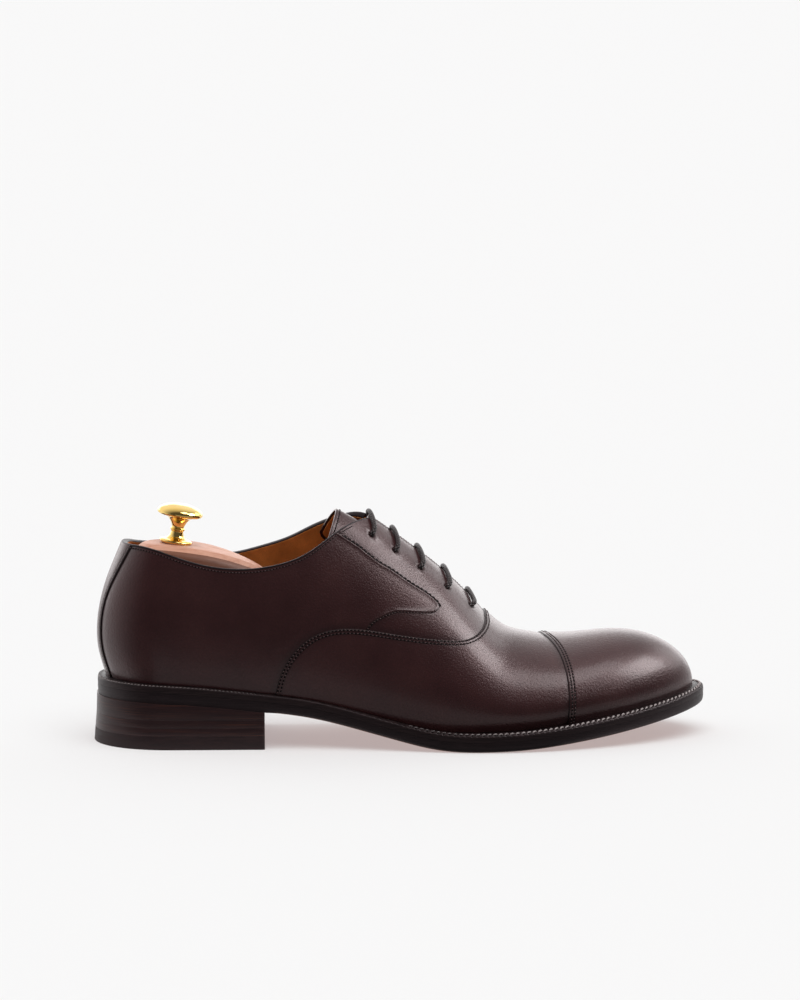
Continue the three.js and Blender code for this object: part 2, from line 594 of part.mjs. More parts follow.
function addTongue() {
  const us = range(TONGUE.from, TONGUE.to, 15);
  const outline = (u) => TONGUE.half * closing((TONGUE.from + 20 - u) / 20, 3, 2.4) + 3;
  const crown = (t) => TONGUE.crown * (1 - smoothstep(Math.abs(t), 0.05, 0.4));
  const top = (t) => TONGUE.depth - crown(t);
  const lining = (t) => top(t) + TONGUE.thickness + GAP;
  const under = (t) => lining(t) + TONGUE.liningThickness;
  // The top edge is cut square to the instep.
  const [peakX, peakZ] = TONGUE.peak;
  const cutAt = (z) => [peakX - TONGUE.cutSlope * (peakZ - z), z];
  const kept = sidePrism([cutAt(60), cutAt(HIGH), [FAR, HIGH], [FAR, 60]]);
  const outer = ridgePatch(us, outline, top, (t) => top(t) + TONGUE.thickness, 8);
  piece("tongue", outer.intersect(kept), LEATHER);
  piece("tongue_lining", ridgePatch(us, outline, lining, under, 8).intersect(kept), LINING_LEATHER);
}

// ---------------------------------------------------------------- lacing
const eyeletHeight = naturalSpline(EYELETS);
const eyeletW = (x, side) => wAtHeight(x, eyeletHeight(x), side);
// One end of a bar, from inside the shoe to near the ridge: [share of the way from the ridge, depth].
const LACE_BAR = [[1, LACE_INSIDE_DEPTH - 1.4], [1, 1], [0.96, -0.4], [0.86, LACE_OUTSIDE_DEPTH],
  [0.45, LACE_OUTSIDE_DEPTH]];
// How far a bar lies towards the toe, from the lateral eyelet at -1 to the medial eyelet at 1.
const laceSway = naturalSpline([
  [-1, 0], [-0.8, 0.9], [-0.4, 0], [0, -1.2], [0.4, -1.5], [0.8, -0.8], [1, 0],
]);

// The lace starts at its lateral end, runs down inside to the lowest eyelet, and then zigzags up: a straight
// bar outside, a short hop to the next row inside.
function lacePath() {
  const points = [];
  const at = (x, w, depth) => points.push(offsetPoint(x, w, depth));
  const bar = (x, side) => {
    const rising = [...LACE_BAR, [0, LACE_OUTSIDE_DEPTH]];
    const falling = LACE_BAR.toReversed().map(([share, depth]) => [-share, depth]);
    [...rising, ...falling].forEach(([share, depth]) => {
      const across = eyeletW(x, side) * share;
      at(x + laceSway(across / eyeletW(x, 1)), across, depth);
    });
  };
  const inside = (xs, side, offset) => xs.forEach((x) => at(x, eyeletW(x, side) * offset, LACE_INSIDE_DEPTH));
  const rows = EYELETS.map(([x]) => x);
  const [top, bottom] = [rows[0], rows[rows.length - 1]];
  inside(LACE_TAIL.lateralX, -1, LACE_TAIL.offset);
  inside([bottom + 3.4], -1, LACE_TAIL.turn);
  rows.toReversed().forEach((x, i) => {
    const side = i % 2 ? 1 : -1;
    bar(x, side);
    if (x === top) return;
    const next = rows[rows.length - 2 - i];
    inside([0.25, 0.5, 0.75].map((share) => THREE.MathUtils.lerp(x, next, share)), -side, 1);
  });
  const endSide = rows.length % 2 ? 1 : -1;
  inside([top - 3], endSide, LACE_TAIL.turn);
  inside(LACE_TAIL.medialRun.map((run) => top + run), endSide, LACE_TAIL.offset);
  return points;
}

function addLace() {
  const curve = new THREE.CatmullRomCurve3(lacePath(), false, "centripetal");
  const sides = 6;
  const ring = range(0, 2 * Math.PI, sides).slice(0, sides)
    .map((a) => new THREE.Vector2(LACE_RADIUS * Math.cos(a), LACE_RADIUS * Math.sin(a)));
  const tube = new THREE.ExtrudeGeometry(new THREE.Shape(ring), { steps: 110, extrudePath: curve });
  piece("lace", toSolid(tube), LACE);
  [[0, "aglet_lateral"], [1, "aglet_medial"]].forEach(([end, name]) => {
    const outward = curve.getTangentAt(end).multiplyScalar(end ? 1 : -1);
    const aglet = new THREE.CylinderGeometry(LACE_RADIUS * 0.8, LACE_RADIUS, AGLET_LENGTH, 8);
    aglet.applyQuaternion(new THREE.Quaternion().setFromUnitVectors(v3(0, 1, 0), outward));
    aglet.translate(...curve.getPointAt(end).addScaledVector(outward, AGLET_LENGTH / 2 + GAP).toArray());
    piece(name, toSolid(aglet), STEEL);
  });
}

// ---------------------------------------------------------------- sole unit
const above = (curve, distance) => (x) => curve(x) + distance;

function addSoleUnit() {
  const outsoleTop = above(soleBottom, OUTSOLE_THICKNESS);
  piece("outsole", solePlate({ extra: 0, from: null, to: null, bottom: soleBottom, top: outsoleTop }),
    SOLE_LEATHER);
  const weltBottom = above(outsoleTop, GAP);
  const weltTop = above(feather, -GAP);
  const band = solePlate({ extra: -0.3, from: null, to: null, bottom: weltBottom, top: weltTop });
  const inner = solePlate({
    extra: WELT_INNER, from: null, to: null, bottom: above(weltBottom, -5), top: above(weltTop, 5),
  });
  const rim = band.subtract(inner);
  piece("welt", rim.intersect(sideBox(RAND_JOINT_X + GAP, FAR, LOW, HIGH)), EDGE_LEATHER);
  piece("heel_rand", rim.intersect(sideBox(-FAR, RAND_JOINT_X, LOW, HIGH)), EDGE_LEATHER);

  const ribOuter = WELT_INNER - GAP;
  const ribInner = ribOuter - RIB_THICKNESS;
  const rib = (extra, grow) => solePlate({
    extra, from: RAND_JOINT_X + 2, to: null, bottom: above(weltBottom, -grow), top: above(weltTop, grow),
  });
  piece("insole_rib", rib(ribOuter, 0).subtract(rib(ribInner, 5)
    .add(sideBox(-FAR, RAND_JOINT_X + 4, LOW, HIGH))), BOARD);
  const filler = (extra, from, to) => solePlate({
    extra, from, to, bottom: weltBottom, top: weltTop, steps: 6,
  });
  piece("cork_filler", filler(ribInner - GAP, CORK_BACK_X, null), CORK);
  piece("heel_filler", filler(WELT_INNER - GAP, null, HEEL_FILLER_FRONT_X), BOARD);
  piece("shank", loft(range(SHANK.from, SHANK.to, 8).map((x) => {
    const low = weltBottom(x) + SHANK.lift;
    const high = low + SHANK.thickness;
    const [right, left] = [centreY(x) - SHANK.half, centreY(x) + SHANK.half];
    return [v3(x, right, low), v3(x, left, low), v3(x, left, high), v3(x, right, high)];
  })), STEEL);

  const insoleEdge = -(LINING[1] + INSOLE_CLEARANCE) - soleMargin(0);
  const bed = (extra, low, high, to = null) => solePlate({
    extra, from: null, to, bottom: above(feather, low), top: above(feather, high), steps: 7,
  });
  const padBottom = INSOLE_THICKNESS + GAP;
  const padTop = padBottom + HEEL_PAD.thickness;
  const sockBottom = padTop + GAP;
  piece("insole_board", bed(insoleEdge, 0, INSOLE_THICKNESS), BOARD);
  piece("heel_pad", bed(insoleEdge - HEEL_PAD.inset, padBottom, padTop, HEEL_PAD.frontX), BOARD);
  piece("sock_liner", bed(insoleEdge, sockBottom, sockBottom + SOCK_THICKNESS), LINING_LEATHER);
}

function addHeel() {
  const flareAt = (z) => HEEL_FLARE.amount * (1 - z / HEEL_FLARE.height);
  const block = (low, high, topOf) => {
    const bottomRing = heelOutline(flareAt(low)).map(([x, y]) => v3(x, y, low));
    const topRing = heelOutline(flareAt(high)).map(([x, y]) => v3(x, y, topOf(x)));
    return loft([bottomRing, topRing]);
  };
  const flat = (z) => () => z;
  let low = TOP_PIECE_THICKNESS + GAP;
  for (let i = 1; i <= HEEL_LIFT_COUNT; i += 1) {
    const high = low + HEEL_LIFT_THICKNESS;
    const topOf = i === HEEL_LIFT_COUNT ? above(soleBottom, -GAP) : flat(high);
    piece(`heel_lift_${i}`, block(low, high, topOf), STACK_LEATHER);
    low = high + GAP;
  }
  const nails = Array.from({ length: HEEL_NAIL.count }, (_, i) => {
    const angle = Math.PI * (0.5 + (i + 0.5) / HEEL_NAIL.count);
    const { ringX, ringLength, ringHalfWidth } = HEEL_NAIL;
    return [ringX + ringLength * Math.cos(angle), ringHalfWidth * Math.sin(angle)];
  });
  let topPiece = block(0, TOP_PIECE_THICKNESS, flat(TOP_PIECE_THICKNESS));
  nails.forEach(([x, y], i) => {
    const hole = new THREE.CylinderGeometry(HEEL_NAIL.radius + GAP, HEEL_NAIL.radius + GAP, 30, 10);
    topPiece = topPiece.subtract(toSolid(hole.rotateX(Math.PI / 2).translate(x, y, 0)));
    const nail = new THREE.CylinderGeometry(HEEL_NAIL.radius, HEEL_NAIL.radius, TOP_PIECE_THICKNESS - 0.4, 8);
    piece(`heel_nail_${i + 1}`, toSolid(nail.rotateX(Math.PI / 2).translate(x, y, TOP_PIECE_THICKNESS / 2)),
      STEEL);
  });
  piece("top_piece", topPiece, RUBBER);
}

// Plan outline of the heel from the breast round the back.
function heelOutline(extra) {
  const xs = soleStations(extra, null, HEEL_BREAST_X, 8);
  const edge = (side) => xs.map((x) => [x, centreY(x) + side * soleHalf(x, extra)]);
  return [...edge(1).slice(1).toReversed(), ...edge(-1)];
}

// ---------------------------------------------------------------- shoe tree
const stemAxis = STEM_END.clone().sub(STEM_START).normalize();

// A cylinder or tube on the stem's axis, from `start` for `length`.
function onStem(radius, start, length, sides = 16) {
  const rod = new THREE.CylinderGeometry(radius, radius, length, sides);
  rod.applyQuaternion(new THREE.Quaternion().setFromUnitVectors(v3(0, 1, 0), stemAxis));
  rod.translate(...STEM_START.clone().addScaledVector(stemAxis, start + length / 2).toArray());
  return toSolid(rod);
}

function heelBlockOutline(back, front, half) {
  return range(0, 2 * Math.PI, 24).slice(0, 24).map((a) => {
    const cos = Math.cos(a);
    const reach = cos > 0 ? front - BLOCK_CENTRE_X : BLOCK_CENTRE_X - back;
    const taper = cos > 0 ? 1 - 0.22 * cos ** 2 : 1; // the front is a little narrower
    return [BLOCK_CENTRE_X + reach * cos, half * Math.sin(a) * taper];
  });
}

function addTreeHeel() {
  const crown = naturalSpline(BLOCK_CROWN);
  const ring = (shape, height) => heelBlockOutline(...shape).map(([x, y]) => v3(x, y, height(x)));
  const body = loft([
    ...BLOCK_LEVELS.map(({ z, shape }) => ring(shape, () => z)),
    ...BLOCK_TOP.map(({ drop, shape }) => ring(shape, (x) => crown(x) - drop)),
  ]);
  const bore = onStem(STEM_OUTER_RADIUS + GAP, -GAP, STEM_LENGTH + GAP);
  const knobHole = new THREE.CylinderGeometry(KNOB_SEAT.radius, KNOB_SEAT.radius, KNOB_SEAT.height, 20);
  knobHole.rotateX(Math.PI / 2).translate(0, 0, KNOB_SEAT.height / 2 - KNOB_SEAT.depth);
  placeOnBlock(knobHole);
  piece("tree_heel_block", body.subtract(bore).subtract(toSolid(knobHole)), CEDAR);
  const knob = new THREE.LatheGeometry(KNOB_PROFILE.map(([r, z]) => new THREE.Vector2(r, z)), 16);
  placeOnBlock(knob.rotateX(Math.PI / 2));
  piece("tree_knob", toSolid(knob), BRASS);
}

// Moves a shape made round +Z to the knob's seat, leaning towards the toe.
function placeOnBlock(geometry) {
  return geometry.rotateY(KNOB_LEAN).translate(...KNOB_BASE.toArray());
}

function springGeometry() {
  const start = STEM_START.clone().addScaledVector(stemAxis, 14);
  const side = v3(0, 1, 0);
  const up = side.clone().cross(stemAxis).normalize();
  const turnSteps = 7;
  const count = SPRING.turns * turnSteps;
  const points = range(0, 1, count).map((t) => {
    const angle = t * SPRING.turns * 2 * Math.PI;
    return start.clone().addScaledVector(stemAxis, t * SPRING.length)
      .addScaledVector(side, SPRING.radius * Math.cos(angle))
      .addScaledVector(up, SPRING.radius * Math.sin(angle));
  });
  const wire = range(0, 2 * Math.PI, 5).slice(0, 5)
    .map((a) => new THREE.Vector2(SPRING.wire * Math.cos(a), SPRING.wire * Math.sin(a)));
  const path = new THREE.CatmullRomCurve3(points);
  return new THREE.ExtrudeGeometry(new THREE.Shape(wire), { steps: count, extrudePath: path });
}

function addTreeStem() {
  const tube = onStem(STEM_OUTER_RADIUS, 0, STEM_LENGTH).subtract(onStem(STEM_INNER_RADIUS, 8, STEM_LENGTH));
  piece("tree_stem", tube, BRASS);
  piece("tree_spring", toSolid(springGeometry()), STEEL);
  piece("tree_rod", onStem(ROD.radius, ROD.start, ROD.length), STEEL);
}

// The front of the tree fills the toe: two cedar halves on two guide pins, pushed apart by small springs.
function addTreeToe() {
  const us = [TOE_BLOCK.from, 14, 24, 33, 40, 46, 52, 62, 76, 90, 101, 111, 119, TOE_BLOCK.to];
  const depthAt = (u, w) => {
    const underTongue = TONGUE.depth + TONGUE.thickness + GAP + TONGUE.liningThickness + TREE_UNDER_TONGUE;
    const clear = LINING[1] + TREE_CLEARANCE;
    const near = 1 - smoothstep(Math.abs(w), 0.42, 0.62);
    const behind = 1 - smoothstep(u, 52, 76);
    return clear + (underTongue - clear) * near * behind;
  };
  const sections = us.map((u) => {
    const ring = range(-0.88, 0.88, 12).map((w) => offsetPoint(u, w, depthAt(u, w)));
    const floor = feather(u) + TOE_BLOCK.floor;
    return ring.map((p) => v3(p.x, p.y, Math.max(p.z, floor)));
  });
  const whole = loft(sections);
  const slotSide = (side) => {
    const xs = [-20, 20, 60, 100, 140];
    const edge = xs.map((x) => [x, centreY(x) + (side * TOE_BLOCK.slot) / 2]);
    return plan([...edge, [140, side * SPAN], [-20, side * SPAN]], LOW, HIGH);
  };
  const rodClear = onStem(ROD.radius + GAP, 0, FAR);
  const pinHoles = TOE_PIN.xs.map((x) => crossPin(x, TOE_PIN.radius + GAP, 60)).reduce((a, b) => a.add(b));
  piece("tree_toe_medial", whole.intersect(slotSide(1)).subtract(rodClear).subtract(pinHoles), CEDAR);
  const lateral = whole.intersect(slotSide(-1)).subtract(pinHoles);
  const rodPath = [0, 0.5, 1].map((share) => rodClear.translate(0, -TOE_TRAVEL * share, 0));
  piece("tree_toe_lateral", rodPath.reduce((solid, place) => solid.subtract(place), lateral), CEDAR);
  TOE_PIN.xs.forEach((x, i) => {
    piece(`tree_guide_pin_${i + 1}`, crossPin(x, TOE_PIN.radius, TOE_PIN.length), STEEL);
  });
}

// A pin across the split of the toe block.
function crossPin(x, radius, length) {
  const pin = new THREE.CylinderGeometry(radius, radius, length, 12);
  pin.translate(x, centreY(x), feather(x) + TOE_BLOCK.floor + TOE_PIN.lift);
  return toSolid(pin);
}

addUpper();
addBinding();
addLinings();
addStiffeners();
addTongue();
addLace();
addSoleUnit();
addHeel();
addTreeHeel();
addTreeStem();
addTreeToe();

export default part;
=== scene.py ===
import math

import bmesh
import bpy
import numpy as np
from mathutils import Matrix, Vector


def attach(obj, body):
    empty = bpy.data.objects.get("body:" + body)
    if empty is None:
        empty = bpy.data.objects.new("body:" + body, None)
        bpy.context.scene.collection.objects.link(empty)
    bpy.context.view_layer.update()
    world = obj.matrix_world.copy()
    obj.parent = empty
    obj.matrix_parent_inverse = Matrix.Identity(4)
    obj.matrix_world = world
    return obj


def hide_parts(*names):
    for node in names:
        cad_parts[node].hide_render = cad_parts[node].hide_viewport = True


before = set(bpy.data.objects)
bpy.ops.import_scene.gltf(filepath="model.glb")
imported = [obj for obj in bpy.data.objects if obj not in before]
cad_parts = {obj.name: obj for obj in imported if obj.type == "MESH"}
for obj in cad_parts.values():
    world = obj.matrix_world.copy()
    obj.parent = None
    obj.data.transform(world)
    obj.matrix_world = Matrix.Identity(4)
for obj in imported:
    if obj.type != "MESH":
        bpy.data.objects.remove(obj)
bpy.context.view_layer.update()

# The shoe's shape is worked out in millimetres in the CAD frame: +X to the toe, +Y to the medial side, +Z up.
# A place on the upper is (u, w): u runs from the middle of the heel back to the toe tip, w from -1 at the
# lateral feather line over 0 on the ridge to +1 at the medial feather line.
MM = 0.001

# ---------------------------------------------------------------- driving dimensions
HEEL_AXIS_X = -112.0
HEEL_END_X = -147.0
TOE_AXIS_X = 57.0
TOE_END_X = 148.6
FAR_END_X = 152.0
FAN_LENGTH = 56.5
FAN_REACH = 38.0
SOLE_BOTTOM = [(-152, 23.7), (-105, 21.9), (-68, 18.2), (-45, 15.2), (-20, 9.4), (0, 4.3), (14, 1.3),
               (28, 0), (42, 0), (56, 0.5), (80, 2.7), (105, 6), (130, 10.2), (152, 14.6)]
RIDGE = [(-152, 139), (-110, 138), (-70, 133), (-40, 124.5), (-15, 111.5), (2.7, 98.6), (17.8, 86.9),
         (32, 73.8), (44, 61.6), (53, 54.4), (63, 51.3), (80, 49.9), (100, 51.3), (120, 53), (147, 53)]
HALF_WIDTH = [(-112, 33.4), (-90, 33.6), (-60, 33.6), (-30, 35.6), (0, 40.3), (25, 45.4), (45, 48),
              (57, 48.3)]
CENTRE_LINE = [(-152, 0), (-112, 0), (-70, -1.6), (-30, -3.4), (10, -2.6), (50, 0), (85, 3), (120, 6),
               (147, 7.2)]
RIDGE_SHIFT = [(-152, 0), (-70, 1), (-20, 5), (20, 6.5), (60, 4.5), (100, 1.5), (147, 0)]
FULLNESS = [(-152, 1.7), (-60, 1.7), (0, 1.85), (50, 2.1), (90, 2.3), (147, 2.5)]
HEEL_BACK = [(20, -143.5), (34, -146.6), (43, -149.2), (55, -150.4), (68, -148.9), (80, -145.6),
             (93, -140.4), (103, -136.2), (125, -127)]
SOLE_MARGIN = [(-152, 3.5), (-100, 3.6), (-60, 3), (-30, 3.8), (0, 6), (30, 8), (57, 8.4), (90, 7.4),
               (120, 6.4), (152, 5.5)]
BALL_HALF_WIDTH = 48.3
TOE_PLAN = (2.0, 1.9)
TOE_DROP_X = 95.0
TOE_DROP = (2.6, 2.2)
HEEL_PLAN_POWER = 2.15
INSET_SHARE = 0.075
INSET_UP_TO = 0.34

VAMP_SEAM = [(-63, 10), (-62.2, 28.9), (-56.3, 44.2), (-43.5, 56.1), (-25.4, 59.6), (-1.4, 56.4),
             (18.3, 53.9), (30, 53.3), (37.5, 55.4), (42.3, 59.6), (42.6, 64), (39, 71), (33, 78)]
CAP_SEAM = [(73.7, 0), (73.8, 16), (74.2, 24), (74.6, 32), (74.7, 38), (74.4, 44.8), (73.7, 47.9),
            (72.9, 49.6), (71.9, 50.5), (69, 52.8)]
CAP_SKEW = 0.16
CAP_SKEW_Y = 5.4
FACING_TOP_X = -14.6
TOPLINE = {
    -1: [(-146, 100), (-138, 100), (-130.6, 100), (-120.1, 98), (-106.5, 93.4), (-80.8, 89), (-58.7, 91.6),
         (-45.9, 96.6), (-30, 107), (-20, 110.9), (FACING_TOP_X, 111.4)],
    1: [(-146, 100), (-138, 100), (-132, 98), (-122, 96.3), (-108, 93.8), (-94, 90.8), (-81.9, 90.4),
        (-73.9, 92.2), (-64.5, 95), (-53.8, 98.9), (-42.5, 104.8), (-27, 111), (-19, 112.4),
        (FACING_TOP_X, 111.6)],
}
THROAT_GAP = [(-70, 0.3), (-50, 2.5), (-30, 6.4), (0, 4.4), (40, 2.4)]
FACING_LINE = [(-36, 108.4), (-28.6, 103.5), (-20.3, 98), (-11.5, 91.1), (-5.6, 87.6), (4.3, 80.7),
               (12.1, 75.8), (17, 71.9), (18.7, 69.3), (16.6, 66.8), (11.7, 66.3), (3.8, 66.8),
               (-3.2, 67.1), (-8.1, 65.5), (-12.1, 63.7), (-15.1, 61.8), (-17.6, 59)]
BACK_STAY = [(-20, 13), (35, 12.6), (50, 11.2), (62, 10.5), (72, 11), (82, 13), (92, 14.8), (170, 15)]
BACK_STRIP_X = -118.0
EYELETS = [(-14.2, 103.2), (-2.5, 95.3), (10, 86.6), (23.2, 76.7), (35.4, 67.1)]
EYELET_STAY = {"from_x": -24, "width": 21}
SIDES = {"lateral": -1, "medial": 1}

UPPER_THICKNESS = 1.3
LINING_TOP = 1.7
LINING_BOTTOM = 3.3
OUTSOLE_THICKNESS = 5.0
WELT_THICKNESS = 3.5
JOINT = 0.3
FEATHER_HEIGHT = OUTSOLE_THICKNESS + WELT_THICKNESS + 2 * JOINT
BACK_U = HEEL_AXIS_X - FAN_LENGTH  # the middle of the heel back


# ---------------------------------------------------------------- curves
def natural_spline(points):
    """A smooth curve through [x, value] points, straight beyond both ends."""
    x, y = (np.array(c, float) for c in zip(*points))
    n = len(x)
    h = np.diff(x)
    a = np.eye(n)
    load = np.zeros(n)
    for i in range(1, n - 1):
        a[i, i - 1:i + 2] = h[i - 1], 2 * (h[i - 1] + h[i]), h[i]
        load[i] = 6 * ((y[i + 1] - y[i]) / h[i] - (y[i] - y[i - 1]) / h[i - 1])
    bend = np.linalg.solve(a, load)
    first = (y[1] - y[0]) / h[0] - h[0] * (2 * bend[0] + bend[1]) / 6
    last = (y[-1] - y[-2]) / h[-1] + h[-1] * (bend[-2] + 2 * bend[-1]) / 6

    def curve(q):
        q = np.asarray(q, float)
        k = np.clip(np.searchsorted(x, q) - 1, 0, n - 2)
        p = (x[k + 1] - q) / h[k]
        r = 1 - p
        inside = p * y[k] + r * y[k + 1] + ((p**3 - p) * bend[k] + (r**3 - r) * bend[k + 1]) * h[k]**2 / 6
        inside = np.where(q < x[0], y[0] + first * (q - x[0]), inside)
        return np.where(q > x[-1], y[-1] + last * (q - x[-1]), inside)

    return curve


sole_bottom = natural_spline(SOLE_BOTTOM)
ridge_height = natural_spline(RIDGE)
half_width = natural_spline(HALF_WIDTH)
centre_line = natural_spline(CENTRE_LINE)
ridge_shift = natural_spline(RIDGE_SHIFT)
fullness = natural_spline(FULLNESS)
heel_back = natural_spline(HEEL_BACK)
sole_margin = natural_spline(SOLE_MARGIN)
throat_gap = natural_spline(THROAT_GAP)
topline_height = {side: natural_spline(points) for side, points in TOPLINE.items()}
eyelet_height = natural_spline(EYELETS)
stay_half_width = natural_spline(BACK_STAY)


def feather(x):
    """Height of the line where the upper meets the welt."""
    return sole_bottom(x) + FEATHER_HEIGHT


def centre_y(x):
    return centre_line(np.maximum(x, HEEL_AXIS_X))


def ridge_y(x):
    return centre_y(x) + ridge_shift(x)


def closing(t, m, n):
    """Falls from 1 at t = 0 to 0 at t = 1, like a quarter of a superellipse."""
    return (1 - np.clip(t, 0, 1)**m)**(1 / n)


def smoothstep(x, low, high):
    t = np.clip((np.asarray(x, float) - low) / (high - low), 0, 1)
    return t * t * (3 - 2 * t)


def unit(vectors):
    return vectors / np.linalg.norm(vectors, axis=-1, keepdims=True)


def lengths_along(points):
    """How far along a line each of its points is."""
    return np.concatenate([[0], np.cumsum(np.linalg.norm(np.diff(points, axis=0), axis=1))])


def read_line(points, length, at):
    """Points of a line at the lengths `at` along it."""
    return np.stack([np.interp(at, length, points[:, k]) for k in range(points.shape[1])], -1)


def catmull(points, per_span=12):
    """A centripetal-like smooth line through points, evenly stepped in its parameter."""
    p = np.array(points, float)
    t = np.concatenate([[0], np.cumsum(np.sqrt(np.linalg.norm(np.diff(p, axis=0), axis=1)))])
    fine = np.interp(np.linspace(0, len(p) - 1, (len(p) - 1) * per_span + 1), np.arange(len(p)), t)
    return np.stack([natural_spline(list(zip(t, p[:, k])))(fine) for k in range(p.shape[1])], -1)


def resample(points, step):
    """The same line with points a constant length apart."""
    length = lengths_along(points)
    at = np.linspace(0, length[-1], max(2, int(round(length[-1] / step)) + 1))
    return read_line(points, length, at)


def bisect(low, high, too_high):
    """For every pair of limits, the value between them where the test becomes true."""
    for _ in range(40):
        middle = (low + high) / 2
        above = too_high(middle)
        high = np.where(above, middle, high)
        low = np.where(above, low, middle)
    return (low + high) / 2


# ---------------------------------------------------------------- the last surface
def last_width(x):
    toe = BALL_HALF_WIDTH * closing((x - TOE_AXIS_X) / (TOE_END_X - TOE_AXIS_X), *TOE_PLAN)
    return np.where(x < TOE_AXIS_X, half_width(x), toe)


def last_height(x):
    drop = closing((x - TOE_DROP_X) / (TOE_END_X - TOE_DROP_X), *TOE_DROP)
    return (ridge_height(x) - feather(x)) * np.where(x > TOE_DROP_X, drop, 1)


def last_point(u, w):
    """The point of the last surface at (u, w)."""
    u, w = np.broadcast_arrays(np.asarray(u, float), np.asarray(w, float))
    side = np.where(w < 0, -1.0, 1.0)
    rise = np.sin(np.clip(1 - np.abs(w), 0, 1) * np.pi / 2)
    turn = np.clip((HEEL_AXIS_X - u) / FAN_LENGTH, 0, 1) * np.pi / 2
    x = np.where(u < HEEL_AXIS_X, HEEL_AXIS_X - FAN_REACH * np.sin(turn), u)
    z = feather(x) + last_height(x) * rise
    tuck = 1 - INSET_SHARE * np.maximum(0, 1 - rise / INSET_UP_TO)**2
    half = last_width(np.maximum(x, HEEL_AXIS_X)) * np.sqrt(np.clip(1 - rise**fullness(x), 0, 1)) * tuck
    across = (np.abs(np.cos(turn)) / np.maximum(half, 1e-6))**HEEL_PLAN_POWER
    along = (np.sin(turn) / (HEEL_AXIS_X - heel_back(z)))**HEEL_PLAN_POWER
    reach = (across + along)**(-1 / HEEL_PLAN_POWER)
    px = np.where(u < HEEL_AXIS_X, HEEL_AXIS_X - reach * np.sin(turn), x)
    py = np.where(u < HEEL_AXIS_X, reach * np.cos(turn), half)
    return np.stack([px, centre_y(px) + side * py + ridge_shift(px) * rise * rise, z], -1)


def last_normal(u, w):
    """The outward direction at (u, w), without a sideways part in the middle of the heel back."""
    u, w = np.broadcast_arrays(np.asarray(u, float), np.asarray(w, float))
    step, step_w = 0.4, 0.004
    inner = np.clip(u, BACK_U + step, TOE_END_X - 1.5)
    along_u = last_point(inner + step, w) - last_point(inner - step, w)
    along_w = last_point(inner, np.minimum(w + step_w, 1)) - last_point(inner, np.maximum(w - step_w, -1))
    normal = unit(np.cross(along_u, along_w))
    at_back = smoothstep(-u, -(BACK_U + 2), -BACK_U)[..., None]
    return unit(normal * (1 - at_back) + normal * [1, 0, 1] * at_back)


def on_last(u, w, height):
    """A point that stands `height` mm off the last surface."""
    return last_point(u, w) + last_normal(u, w) * np.asarray(height, float)[..., None]


def w_at_height(x, z, side):
    rise = np.clip((z - feather(x)) / last_height(x), 0, 1)
    return side * (1 - np.arcsin(rise) * 2 / np.pi)


def ridge_scale(x):
    """Arc length across the ridge for one unit of w, near w = 0."""
    return last_width(x) * np.sqrt(fullness(x)) * np.pi / (2 * math.sqrt(2))


def seam_path(points, sides=(-1, 1), skew=0.0):
    """(u, w) along a seam given in the side view, from the lateral feather line over the ridge.

    A seam with a skew runs further back on the medial side, by skew mm for every mm across.
    """
    line = resample(catmull(points), 0.5)
    bottom = feather(line[:, 0])
    line = line[(line[:, 1] > bottom) & (line[:, 1] < bottom + last_height(line[:, 0]))]
    halves = []
    for side in sides:
        x = line[:, 0]
        for _ in range(6):
            w = w_at_height(x, line[:, 1], side)
            x = line[:, 0] - skew * (last_point(x, w)[:, 1] - CAP_SKEW_Y)
        half = np.stack([x, w_at_height(x, line[:, 1], side)], -1)
        halves.append(half if side < 0 or len(sides) == 1 else half[::-1])
    return np.concatenate(halves)


def topline_path(side, drop, end_x=FACING_TOP_X):
    """(u, w) along the topline from the heel back to the facing, `drop` mm below it."""
    steps = 260
    u = np.linspace(BACK_U, end_x, steps)

    def below(w):
        p = last_point(u, side * w)
        return p[:, 2] < topline_height[side](p[:, 0]) - drop

    return np.stack([u, side * bisect(np.full(steps, 1e-3), np.full(steps, 0.999), below)], -1)


def stay_path(side, inset):
    """(u, w) up the edge of the back stay, from the feather line to the topline."""
    steps, top_w, below_topline = 160, 0.36, 1.4
    w = np.linspace(1.0, top_w, steps) * side

    def wide(u):
        p = last_point(u, w)
        return np.abs(p[:, 1]) > stay_half_width(p[:, 2]) - inset

    path = np.stack([bisect(np.full(steps, BACK_U), np.full(steps, HEEL_AXIS_X), wide), w], -1)
    p = last_point(*path.T)
    return path[p[:, 2] < topline_height[side](p[:, 0]) - below_topline]


def slide_path(path, distance):
    """A (u, w) path moved sideways on the surface, to the left of its direction seen from outside."""
    p = last_point(*path.T)
    left = np.cross(last_normal(*path.T), np.gradient(p, axis=0))
    left /= np.linalg.norm(left, axis=1, keepdims=True) + 1e-9
    return project(p + left * distance, path)


def project(target, start):
    """The (u, w) nearest to each target point, by a few Gauss-Newton steps."""
    uw = start.astype(float).copy()
    for _ in range(4):
        u, w = uw[:, 0], uw[:, 1]
        p = last_point(u, w)
        du = (last_point(u + 0.2, w) - last_point(u - 0.2, w)) / 0.4
        dw = (last_point(u, w + 0.002) - last_point(u, w - 0.002)) / 0.004
        r = target - p
        a, b, c = (du * du).sum(1), (du * dw).sum(1), (dw * dw).sum(1)
        e, f = (du * r).sum(1), (dw * r).sum(1)
        det = a * c - b * b + 1e-9
        uw[:, 0] += np.clip((c * e - b * f) / det, -3, 3)
        uw[:, 1] += np.clip((a * f - b * e) / det, -0.1, 0.1)
        uw[:, 1] = np.clip(uw[:, 1], -1, 1)
    return uw


